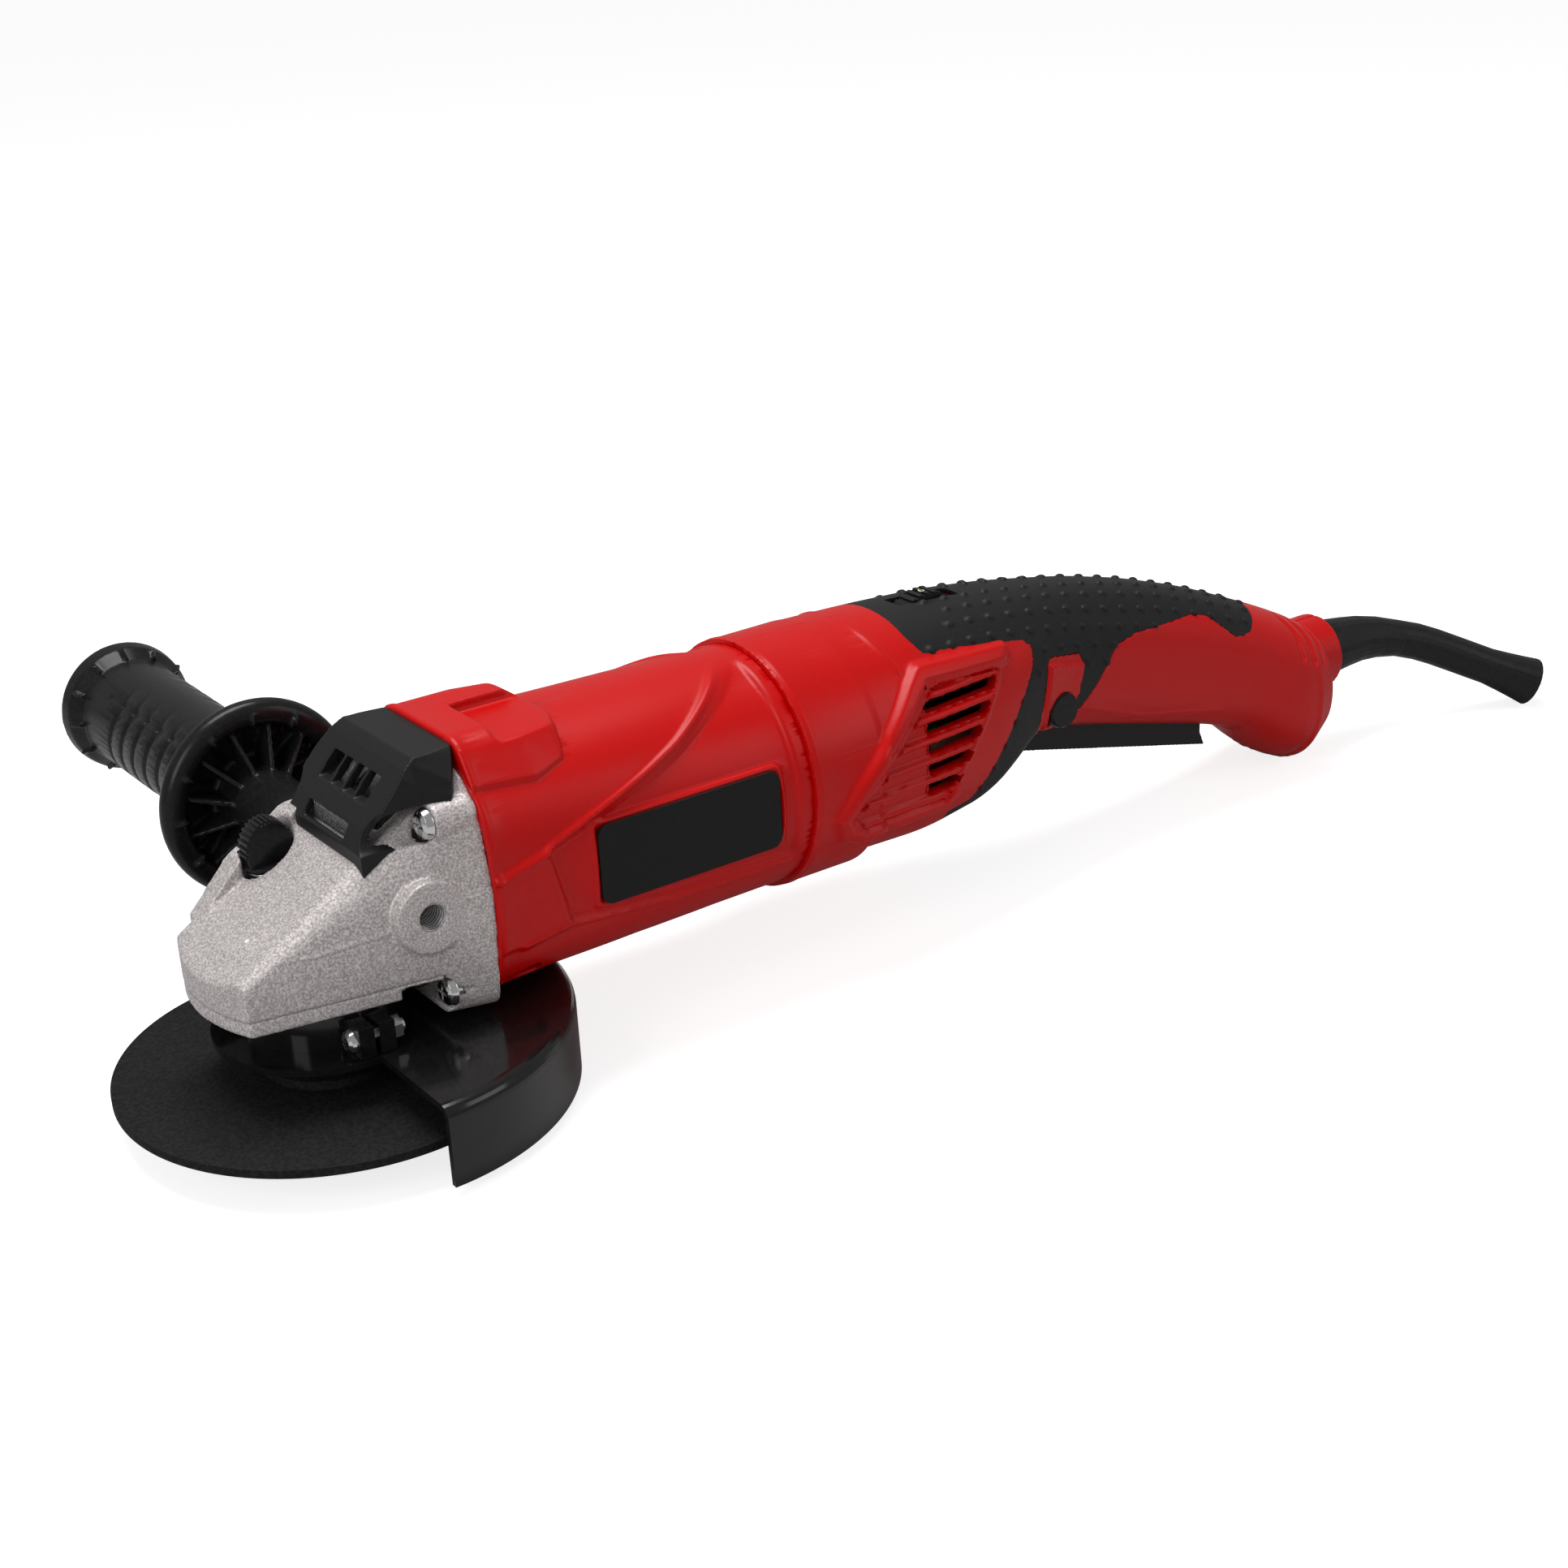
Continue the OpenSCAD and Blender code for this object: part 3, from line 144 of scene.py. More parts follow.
def copyNode(node, name):
    # the copy's triangles are merged; the CAD node itself is left alone
    piece = nodes[node].copy()
    piece.data = nodes[node].data.copy()
    piece.name = name
    piece.data.name = name
    piece.parent = None
    bpy.context.scene.collection.objects.link(piece)
    piece.matrix_world = Matrix.Identity(4)
    makeActive(piece)
    if piece.data.has_custom_normals:
        bpy.ops.mesh.customdata_custom_splitnormals_clear()
    bpy.ops.object.mode_set(mode="EDIT")
    bpy.ops.mesh.select_all(action="SELECT")
    bpy.ops.mesh.remove_doubles(threshold=mergeDistance * mm)
    bpy.ops.mesh.dissolve_limited(angle_limit=math.radians(flatAngle))
    bpy.ops.object.mode_set(mode="OBJECT")
    return piece


def finishPiece(piece, body, slotName, replaced=()):
    piece.data.materials.clear()
    piece.data.materials.append(materials[slotName])
    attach(piece, body)
    if replaced:
        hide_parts(*replaced)


def alongPath(spots, path):
    # distance from each spot to a line of points
    nearest = np.full(len(spots), 1e9)
    for start, end in zip(path, path[1:]):
        start, run = np.array(start, float), np.array(end, float) - np.array(start, float)
        share = np.clip((spots - start) @ run / (run @ run), 0, 1)
        nearest = np.minimum(nearest, np.linalg.norm(spots - start - share[:, None] * run, axis=1))
    return nearest


def withinOutline(spots, outline):
    inside = np.zeros(len(spots), bool)
    for (x0, z0), (x1, z1) in zip(outline, outline[1:] + outline[:1]):
        if z0 == z1:
            continue
        crossed = (z0 > spots[:, 1]) != (z1 > spots[:, 1])
        inside ^= crossed & (spots[:, 0] < (x1 - x0) * (spots[:, 1] - z0) / (z1 - z0) + x0)
    return inside


def easeIn(values):
    held = np.clip(values, 0, 1)
    return held * held * (3 - 2 * held)


# a mark fades in as the skin turns to face the view, and a line's crown is flattened by this share
facingStart, facingRamp = 0.1, 0.35
lineCrown = 1.35


def facingShare(lean):
    return easeIn((lean - facingStart) / facingRamp)


def carve(piece, marks):
    # marks are lines, fields and dots in millimetres; the skin moves along its own normals
    mesh = piece.data
    place, normal = vertexRows(mesh, "co"), vertexRows(mesh, "normal")
    count = len(place)
    spots = place * perMetre
    outward = normal[:, 1] * np.sign(spots[:, 1])
    moved = np.zeros(count)
    for mark in marks:
        view = mark.get("view", "side")
        if view == "side":
            flat = spots[:, [0, 2]]
            facing = facingShare(outward)
        elif view == "top":
            flat = spots[:, [0, 1]]
            facing = facingShare(normal[:, 2])
        elif view == "around":
            flat = np.stack([spots[:, 0], np.zeros(count)], axis=1)
            facing = np.ones(count)
        else:
            flat = np.stack([spots[:, 0], mark["unroll"](spots)], axis=1)
            facing = facingShare(outward + np.maximum(normal[:, 2], 0))
        if "where" in mark:
            facing = facing * mark["where"](spots)
        if "dots" in mark:
            lift = np.zeros(count)
            for dot in mark["dots"]:
                gap = np.hypot(flat[:, 0] - dot[0], flat[:, 1] - dot[1])
                lift = np.maximum(lift, np.sqrt(np.clip(1 - (gap / mark["radius"]) ** 2, 0, 1)))
        elif "line" in mark:
            path = mark["line"] + mark["line"][:1] if mark.get("closed") else mark["line"]
            lift = easeIn(lineCrown * (1 - alongPath(flat, path) / mark["width"]))
        else:
            edge = alongPath(flat, mark["field"] + mark["field"][:1])
            lift = easeIn(0.5 + np.where(withinOutline(flat, mark["field"]), edge, -edge) / mark["ramp"])
        moved += lift * facing * mark["height"]
    place += normal * moved[:, None] * mm
    setPlaces(mesh, place)


def addBox(low, high, name="box"):
    centre = [(a + b) / 2 * mm for a, b in zip(low, high)]
    size = [(b - a) * mm for a, b in zip(low, high)]
    bpy.ops.mesh.primitive_cube_add(size=1, location=centre)
    box = bpy.context.object
    box.name = name
    box.scale = size
    placeInMesh(box)
    return box


def addRod(centre, radius, length, axis, vertices=48, name="rod"):
    turn = {"X": (0, math.pi / 2, 0), "Y": (math.pi / 2, 0, 0), "Z": (0, 0, 0)}[axis]
    bpy.ops.mesh.primitive_cylinder_add(vertices=vertices, radius=radius * mm, depth=length * mm,
                                        location=[v * mm for v in centre], rotation=turn)
    rod = bpy.context.object
    rod.name = name
    placeInMesh(rod)
    return rod


# finishes
def addInput(group, name, kind, value):
    socket = group.interface.new_socket(name=name, in_out="INPUT", socket_type=kind)
    socket.default_value = value


def buildMouldGrain():
    # two sizes of noise give a part its fine grain of colour and its slow drift of roughness
    group = bpy.data.node_groups.new("mouldGrain", "ShaderNodeTree")
    addInput(group, "Color", "NodeSocketColor", (0.5, 0.5, 0.5, 1))
    addInput(group, "Speck Color", "NodeSocketColor", (0.4, 0.4, 0.4, 1))
    addInput(group, "Grain Size", "NodeSocketFloat", 800.0)
    addInput(group, "Speck Amount", "NodeSocketFloat", 0.3)
    addInput(group, "Roughness", "NodeSocketFloat", 0.4)
    addInput(group, "Roughness Drift", "NodeSocketFloat", 0.08)
    group.interface.new_socket(name="Color", in_out="OUTPUT", socket_type="NodeSocketColor")
    group.interface.new_socket(name="Roughness", in_out="OUTPUT", socket_type="NodeSocketFloat")
    group.interface.new_socket(name="Height", in_out="OUTPUT", socket_type="NodeSocketFloat")
    new, link = group.nodes.new, group.links.new
    entry, leave = new("NodeGroupInput"), new("NodeGroupOutput")
    place = new("ShaderNodeTexCoord")
    fine = new("ShaderNodeTexNoise")
    fine.inputs["Detail"].default_value = 3
    link(place.outputs["Object"], fine.inputs["Vector"])
    link(entry.outputs["Grain Size"], fine.inputs["Scale"])
    slow = new("ShaderNodeTexNoise")
    slow.inputs["Scale"].default_value = 22
    slow.inputs["Detail"].default_value = 4
    link(place.outputs["Object"], slow.inputs["Vector"])
    sharpen = new("ShaderNodeMapRange")
    sharpen.inputs["From Min"].default_value = 0.38
    sharpen.inputs["From Max"].default_value = 0.66
    link(fine.outputs["Fac"], sharpen.inputs["Value"])
    amount = new("ShaderNodeMath")
    amount.operation = "MULTIPLY"
    link(sharpen.outputs["Result"], amount.inputs[0])
    link(entry.outputs["Speck Amount"], amount.inputs[1])
    tint = new("ShaderNodeMix")
    tint.data_type = "RGBA"
    link(amount.outputs[0], tint.inputs["Factor"])
    link(entry.outputs["Color"], tint.inputs["A"])
    link(entry.outputs["Speck Color"], tint.inputs["B"])
    drift = new("ShaderNodeMath")
    drift.operation = "MULTIPLY_ADD"
    drift.inputs[2].default_value = 0
    centred = new("ShaderNodeMath")
    centred.operation = "SUBTRACT"
    centred.inputs[1].default_value = 0.5
    link(slow.outputs["Fac"], centred.inputs[0])
    link(centred.outputs[0], drift.inputs[0])
    link(entry.outputs["Roughness Drift"], drift.inputs[1])
    rough = new("ShaderNodeMath")
    rough.operation = "ADD"
    rough.use_clamp = True
    link(entry.outputs["Roughness"], rough.inputs[0])
    link(drift.outputs[0], rough.inputs[1])
    link(tint.outputs["Result"], leave.inputs["Color"])
    link(rough.outputs[0], leave.inputs["Roughness"])
    link(fine.outputs["Fac"], leave.inputs["Height"])
    return group


mouldGrain = buildMouldGrain()

finishes = {
    "cast_aluminium": dict(color=(0.42, 0.375, 0.37), speck=(0.9, 0.85, 0.85), size=1500, amount=0.8,
                           rough=0.45, drift=0.12, bump=0.35, metallic=0.35),
    "red_plastic": dict(color=(0.6, 0.0, 0.0), speck=(0.5, 0.0, 0.0), size=900, amount=0.3, rough=0.36,
                        drift=0.06, bump=0.03, gloss=0.28),
    "black_plastic": dict(color=(0.012, 0.012, 0.013), speck=(0.016, 0.016, 0.017), size=1300, amount=0.6,
                          rough=0.42, drift=0.1, bump=0.08),
    "gloss_black": dict(color=(0.009, 0.009, 0.01), speck=(0.02, 0.02, 0.021), size=700, amount=0.4,
                        rough=0.26, drift=0.1, bump=0.02),
    "guard_paint": dict(color=(0.006, 0.006, 0.006), speck=(0.012, 0.012, 0.012), size=500, amount=0.4,
                        rough=0.16, drift=0.08, bump=0.012, coat=0.5),
    "grip_rubber": dict(color=(0.011, 0.011, 0.012), speck=(0.018, 0.018, 0.019), size=1800, amount=0.6,
                        rough=0.5, drift=0.12, bump=0.12),
    "sleeve_rubber": dict(color=(0.01, 0.01, 0.011), speck=(0.02, 0.02, 0.021), size=900, amount=0.5,
                          rough=0.4, drift=0.1, bump=0.04),
    "label_black": dict(color=(0.006, 0.006, 0.006), speck=(0.009, 0.009, 0.009), size=1100, amount=0.6,
                        rough=0.5, drift=0.08, bump=0.03),
    "abrasive": dict(color=(0.005, 0.005, 0.005), speck=(0.035, 0.034, 0.034), size=900, amount=0.35,
                     rough=0.8, drift=0.1, bump=0.6),
    "chrome_screw": dict(color=(0.8, 0.8, 0.8), speck=(0.62, 0.62, 0.62), size=400, amount=0.4, rough=0.16,
                         drift=0.15, bump=0.01, metallic=1.0),
    "blackened_steel": dict(color=(0.05, 0.05, 0.052), speck=(0.12, 0.12, 0.12), size=900, amount=0.5,
                            rough=0.42, drift=0.15, bump=0.05, metallic=0.8),
    "steel": dict(color=(0.55, 0.55, 0.56), speck=(0.4, 0.4, 0.41), size=700, amount=0.5, rough=0.32,
                  drift=0.15, bump=0.03, metallic=1.0),
    "bearing_steel": dict(color=(0.66, 0.66, 0.67), speck=(0.5, 0.5, 0.51), size=600, amount=0.4,
                          rough=0.2, drift=0.1, bump=0.01, metallic=1.0),
    "spring_steel": dict(color=(0.5, 0.5, 0.5), speck=(0.38, 0.38, 0.38), size=900, amount=0.4, rough=0.3,
                         drift=0.1, bump=0.02, metallic=1.0),
    "core_steel": dict(color=(0.32, 0.32, 0.33), speck=(0.2, 0.2, 0.21), size=1000, amount=0.6, rough=0.45,
                       drift=0.15, bump=0.1, metallic=0.9),
    "copper": dict(color=(0.6, 0.22, 0.09), speck=(0.4, 0.13, 0.05), size=900, amount=0.5, rough=0.35,
                   drift=0.15, bump=0.1, metallic=1.0),
    "brass": dict(color=(0.7, 0.5, 0.2), speck=(0.55, 0.4, 0.15), size=700, amount=0.4, rough=0.3,
                  drift=0.15, bump=0.02, metallic=1.0),
    "carbon": dict(color=(0.03, 0.03, 0.031), speck=(0.08, 0.08, 0.08), size=1500, amount=0.6, rough=0.7,
                   drift=0.1, bump=0.2),
    "cream_plastic": dict(color=(0.7, 0.63, 0.45), speck=(0.62, 0.55, 0.4), size=900, amount=0.4,
                          rough=0.45, drift=0.1, bump=0.04),
    "board_green": dict(color=(0.02, 0.16, 0.06), speck=(0.015, 0.12, 0.045), size=600, amount=0.4,
                        rough=0.35, drift=0.1, bump=0.03),
}


bumpDistance = 0.4
coatRoughness = 0.08
plainGloss = 0.22


def buildMaterial(name, finish):
    material = bpy.data.materials.new(name)
    material.use_nodes = True
    tree = material.node_tree
    shader = tree.nodes["Principled BSDF"]
    grain = tree.nodes.new("ShaderNodeGroup")
    grain.node_tree = mouldGrain
    grain.inputs["Color"].default_value = (*finish["color"], 1)
    grain.inputs["Speck Color"].default_value = (*finish["speck"], 1)
    grain.inputs["Grain Size"].default_value = finish["size"]
    grain.inputs["Speck Amount"].default_value = finish["amount"]
    grain.inputs["Roughness"].default_value = finish["rough"]
    grain.inputs["Roughness Drift"].default_value = finish["drift"]
    bump = tree.nodes.new("ShaderNodeBump")
    bump.inputs["Strength"].default_value = finish["bump"]
    bump.inputs["Distance"].default_value = bumpDistance * mm
    tree.links.new(grain.outputs["Color"], shader.inputs["Base Color"])
    tree.links.new(grain.outputs["Roughness"], shader.inputs["Roughness"])
    tree.links.new(grain.outputs["Height"], bump.inputs["Height"])
    tree.links.new(bump.outputs["Normal"], shader.inputs["Normal"])
    shader.inputs["Metallic"].default_value = finish.get("metallic", 0.0)
    shader.inputs["Coat Weight"].default_value = finish.get("coat", 0.0)
    shader.inputs["Coat Roughness"].default_value = coatRoughness
    shader.inputs["Specular IOR Level"].default_value = finish.get("gloss", plainGloss)
    return material


materials = {name: buildMaterial(name, finish) for name, finish in finishes.items()}
for name, node in nodes.items():
    node.data.materials.clear()
    node.data.materials.append(materials[slotOf[name]])
    smoothByAngle(node, 32)
print("materials:", len(materials))


# camera, floor and soft lamps
studio = {"azimuth": -34.84, "elevation": 22.88, "roll": -2.92, "lens": 55.9, "sensor": 36,
          "position": (-0.2427, -0.5813, 0.3459), "floorSize": 90, "floorDrop": 0.0002, "paperGrey": 0.5,
          "paperLevel": 0.8, "skyLevel": 0.3}


def buildCamera():
    turn, rise, roll = (math.radians(studio[k]) for k in ("azimuth", "elevation", "roll"))
    back = Vector((math.sin(turn) * math.cos(rise), -math.cos(turn) * math.cos(rise), math.sin(rise)))
    right = Vector((0, 0, 1)).cross(back).normalized()
    up = back.cross(right)
    tiltedRight = math.cos(roll) * right + math.sin(roll) * up
    tiltedUp = back.cross(tiltedRight)
    bpy.ops.object.camera_add(location=studio["position"])
    camera = bpy.context.object
    camera.data.lens = studio["lens"]
    camera.data.sensor_width = studio["sensor"]
    camera.matrix_world = Matrix.Translation(studio["position"]) @ Matrix(
        (tiltedRight, tiltedUp, back)).transposed().to_4x4()
    bpy.context.scene.camera = camera
    bpy.context.scene.view_settings.view_transform = "Standard"


def buildFloor():
    height = cadBox[0][2] - studio["floorDrop"]
    bpy.ops.mesh.primitive_plane_add(size=studio["floorSize"], location=(0.2, 0, height))
    floor = bpy.context.object
    floor.name = "floor"
    paper = bpy.data.materials.new("paper")
    paper.use_nodes = True
    shader = paper.node_tree.nodes["Principled BSDF"]
    grey = studio["paperGrey"]
    shader.inputs["Base Color"].default_value = (grey, grey, grey, 1)
    shader.inputs["Roughness"].default_value = 0.9
    shader.inputs["Emission Color"].default_value = (1, 1, 1, 1)
    # the paper looks white without throwing its own light up on to the machine
    paths = paper.node_tree.nodes.new("ShaderNodeLightPath")
    level = paper.node_tree.nodes.new("ShaderNodeMath")
    level.operation = "MULTIPLY"
    level.inputs[1].default_value = studio["paperLevel"]
    paper.node_tree.links.new(paths.outputs["Is Camera Ray"], level.inputs[0])
    paper.node_tree.links.new(level.outputs[0], shader.inputs["Emission Strength"])
    floor.data.materials.append(paper)


def addSoftbox(name, location, target, size, power):
    bpy.ops.object.light_add(type="AREA", location=location)
    lamp = bpy.context.object
    lamp.name = name
    lamp.data.shape = "RECTANGLE"
    lamp.data.size, lamp.data.size_y = size
    lamp.data.energy = power
    aim = Vector(target) - Vector(location)
    lamp.rotation_euler = aim.to_track_quat("-Z", "Y").to_euler()


def buildLights():
    world = bpy.data.worlds.new("studio")
    bpy.context.scene.world = world
    world.use_nodes = True
    sky = world.node_tree.nodes["Background"]
    sky.inputs["Color"].default_value = (1, 1, 1, 1)
    sky.inputs["Strength"].default_value = studio["skyLevel"]
    addSoftbox("topBox", (0.1, 0.25, 1.3), (0.15, 0, 0), (0.9, 0.5), 13)
    addSoftbox("leftBox", (-1.2, -0.5, 0.8), (0.1, 0, 0.04), (0.5, 0.9), 6)
    addSoftbox("rightBox", (1.1, -1.0, 0.7), (0.2, 0, 0.04), (0.5, 0.8), 2)


deselectAll()
buildCamera()
buildFloor()
buildLights()
print("studio ready")


# cast and moulded shells: voxel size, smoothing passes and the share of faces that is kept
shells = {
    "gear_housing": dict(piece="gearHousing", voxel=0.6, passes=3, keep=0.32),
    "bearing_cover": dict(piece="bearingCover", voxel=0.55, passes=3, keep=0.45),
    "air_deflector": dict(piece="airDeflector", voxel=0.4, passes=3, keep=0.45),
    "motor_housing": dict(piece="motorHousing", voxel=0.7, passes=3, keep=0.3),
    "handle_shell_left": dict(piece="leftShell", voxel=0.6, passes=3, keep=0.35),
    "handle_shell_right": dict(piece="rightShell", voxel=0.6, passes=3, keep=0.35),
    "grip_left": dict(piece="leftGrip", voxel=0.42, passes=2, keep=0.45),
    "grip_right": dict(piece="rightGrip", voxel=0.42, passes=2, keep=0.45),
    "trigger_paddle": dict(piece="triggerPaddle", voxel=0.5, passes=6, keep=0.5),
    "side_handle_grip": dict(piece="sideGrip", voxel=0.7, passes=3, keep=0.4),
}
bodyOf = {name: body for body, names in frame["record"]["behaviour"]["bodies"].items() for name in names}

# stations along the machine: x, top, bottom, half width, squareness above and below the middle
bodyForm = [(38, 97, 24.8, 36.4, 2.7, 4), (60, 97, 23.8, 36.8, 2.5, 3.1),
            (90, 97, 22.2, 37.6, 2.25, 2.5), (120, 97.1, 20.7, 38.2, 2.05, 2.1),
            (146, 96.7, 20.3, 38.2, 2, 2)]
handleForm = [(146, 98.2, 18.8, 39.7, 2, 2), (171, 98.4, 19.4, 39.6, 2, 2.1),
              (174, 98.2, 23, 38.2, 2, 2.3), (200, 97.2, 23.2, 36.4, 2.1, 2.6),
              (226, 95.7, 26.2, 32.8, 2.2, 2.6), (238, 94.5, 32, 30, 2.2, 2.5),
              (250, 93, 41, 26.6, 2.3, 2.5), (264, 90.8, 41.2, 23.6, 2.3, 2.6),
              (285, 87, 36, 22.2, 2.3, 2.7), (310, 80.6, 29.4, 21.6, 2.3, 2.7),
              (335, 72.3, 22.6, 21.8, 2.3, 2.6), (352, 65.4, 17, 22.6, 2.3, 2.5),
              (361, 61.4, 9.5, 23.5, 2.3, 2.3), (370, 57.6, 1.5, 24.6, 2.3, 2.2),
              (382, 51.8, -4, 25, 2.3, 2.2), (391, 46.4, 2.5, 21.5, 2.3, 2.2)]

# where along the handle the stations are averaged, and how far from the curve the skin is still moved
evenFrom, evenTo, evenRamp = 181, 384, 6
evenSteps = (-6, -3, 0, 3, 6)
skinReach, skinFade = 0.03, 0.012


def roundOut(piece, form):
    # the outer skin moves from its flats on to the true curve between the stations
    mesh = piece.data
    place = vertexRows(mesh, "co")
    spots = place.astype(float) * perMetre
    rows = np.array(form, float)

    def station(column):
        # a short average along the machine takes out the kinks at the stations
        even = sum(np.interp(spots[:, 0] + step, rows[:, 0], rows[:, column]) for step in evenSteps)
        even = even / len(evenSteps)
        exact = np.interp(spots[:, 0], rows[:, 0], rows[:, column])
        blend = easeIn((spots[:, 0] - evenFrom) / evenRamp) * easeIn((evenTo - spots[:, 0]) / evenRamp)
        return exact + (even - exact) * blend

    top, bottom, half, above, below = (station(column) for column in range(1, 6))
    middle, rise = (top + bottom) / 2, (top - bottom) / 2
    power = np.where(spots[:, 2] > middle, above, below)
    across, upward = np.abs(spots[:, 1] / half), np.abs((spots[:, 2] - middle) / rise)
    reach = (across ** power + upward ** power) ** (1 / power)
    near = easeIn((skinReach - np.abs(reach - 1)) / skinFade)
    scale = 1 + (1 / np.maximum(reach, 0.5) - 1) * near
    place[:, 1] = spots[:, 1] * scale * mm
    place[:, 2] = (middle + (spots[:, 2] - middle) * scale) * mm
    setPlaces(mesh, place)


def onLabelSide(spots):
    return (spots[:, 1] < 0).astype(float)


headMarks = [
    dict(line=[(-16, 54.2), (8, 56.3)], width=0.9, height=0.5),
    dict(line=[(29.4, 60.6), (37.5, 62.2)], width=0.7, height=0.35),
    dict(line=[(12, 55.5), (17, 57.5)], width=0.6, height=0.3),
    dict(view="top", line=[(-29, -4.5), (-24, -7.5)], width=1.1, height=0.6),
    dict(line=[(20.5, 39.4), (20.5, 33), (30, 33)], width=1.0, height=-0.7),
]
creaseLine = [(136, 97), (120, 90.5), (105, 84.5), (90, 79.6), (75, 75), (56, 68.8)]
bodyMarks = [
    dict(field=creaseLine + [(62, 44.4), (102, 40.8), (141, 39.6), (141, 96)], ramp=1.8, height=-1.5),
    dict(line=creaseLine, width=2.4, height=1.0),
    dict(line=[(56, 68.8), (39.5, 64.4)], width=1.9, height=0.9),
    dict(field=[(39, 64.4), (55, 68.6), (61, 44.4), (46, 42), (39, 42)], ramp=2.2, height=0.9),
    dict(line=[(46, 42), (62, 44.6), (102, 41), (140, 40)], width=1.9, height=0.8),
    dict(line=[(71.5, 46.3), (134.5, 46.3), (135.3, 47), (135.3, 71), (134.5, 71.7), (71.5, 71.7), (70.7, 71),
               (70.7, 47)], closed=True, width=1.6, height=1.2, where=onLabelSide),
    dict(view="around", line=[(39.2, 0), (39.3, 0)], width=1.6, height=0.4),
]
ventOuter = [(190.5, 86), (231.5, 83.8), (200, 40.6), (164, 39), (153.4, 50)]
ventInner = [(197, 79.6), (225, 77.6), (216, 64.5), (198, 42.6), (166, 42.8), (160.8, 48.4)]
slatHeights = (44.4, 51.1, 57.7, 64.3, 70.9, 77.4)


def withinVent(spots):
    return withinOutline(spots[:, [0, 2]], ventInner).astype(float)


shellMarks = [
    dict(field=ventOuter, ramp=3.6, height=0.8),
    dict(line=[(203, 43.5), (198, 40.6), (166, 40.4), (158, 43.6), (156, 49), (162, 57), (189, 80),
               (194, 83.4), (229, 81.4)], width=4.2, height=1.9),
    dict(field=ventInner, ramp=1.6, height=-1.8),
    dict(line=[(148.5, 19), (148.5, 98)], width=1.2, height=0.25),
    dict(line=[(182, 101), (185.5, 91), (187.5, 86)], width=1.8, height=0.45),
    dict(line=[(372, 58), (375, 50), (374, 42)], width=1.6, height=-0.8),
    dict(line=[(378, 56), (381, 48), (380, 39)], width=1.6, height=-0.8),
    dict(line=[(384, 52), (387, 45), (386, 37)], width=1.6, height=-0.7),
    dict(line=[(248, 57.5), (250.6, 71.2), (267.8, 66.9), (265.4, 51.4), (262, 47.6), (257, 46.2), (251, 48)],
         closed=True, width=1.3, height=0.5),
    dict(field=[(248, 57.5), (250.6, 71.2), (267.8, 66.9), (265.4, 51.4), (257, 46.2), (251, 48)], ramp=1.2,
         height=0.7),
    dict(line=[(268, 51.5), (280, 46.5), (300, 38.4), (336, 31.5)], width=1.4, height=0.35),
] + [dict(line=[(150, z), (232, z)], width=1.7, height=1.9, where=withinVent) for z in slatHeights]


gripCrown = [(185, 97), (226, 95.7), (264, 90.8), (310, 80.6), (352, 65.4), (370, 57.6)]
gripRadius, gripDepth = 25, 60
dotRows = {"count": 7, "first": 5, "pitch": 6.4}
dotColumns = {"count": 23, "first": 199, "pitch": 8.4, "last": 365}


def aroundGrip(spots):
    # arc length over the hand grip, measured from its crown; what lies far below is sent out of reach
    crown = np.interp(spots[:, 0], *zip(*gripCrown))
    drop = np.maximum(spots[:, 2] - crown + gripRadius, 0.1)
    stretch = np.where(spots[:, 2] > crown - gripDepth, 1, 9)
    return np.arctan2(np.abs(spots[:, 1]), drop) * gripRadius * stretch


def gripDots():
    # every other row is set back by half a pitch
    dots = []
    for row in range(dotRows["count"]):
        for column in range(dotColumns["count"]):
            x = dotColumns["first"] + (column + (row % 2) / 2) * dotColumns["pitch"]
            dots.append((x, dotRows["first"] + row * dotRows["pitch"]))
    return [dot for dot in dots if dot[0] < dotColumns["last"]]


stripDots = [(236.5, 71), (234.6, 64.5), (231.6, 58), (226.6, 51.5), (222, 45.2), (217.6, 39), (240.6, 77)]
gripMarks = [
    dict(view="unroll", unroll=aroundGrip, dots=gripDots(), radius=1.45, height=0.85,
         where=lambda spots: easeIn((spots[:, 0] - 212 + (spots[:, 2] < 90) * 14) / 3)
         * (spots[:, 2] > 62 - np.clip(spots[:, 0] - 268, 0, 40) * 0.3)),
    dict(dots=stripDots, radius=1.2, height=0.6),
]


# in millimetres: reach is from the grip's own axis, along is out from the machine
sideDish = {"ribs": 12, "inner": 15, "outer": 29, "width": 0.9, "height": 1.3}
sideGrooves = {"count": 7, "first": 98, "pitch": 9.5, "sway": 3, "width": 1.4, "depth": 0.9}
sideBorders = {"lines": (0.72, -0.72), "start": 90, "end": 164, "width": 1.1, "depth": 0.6}
sideSkin = {"reach": 12, "along": 86}
sideCrown = 1.3


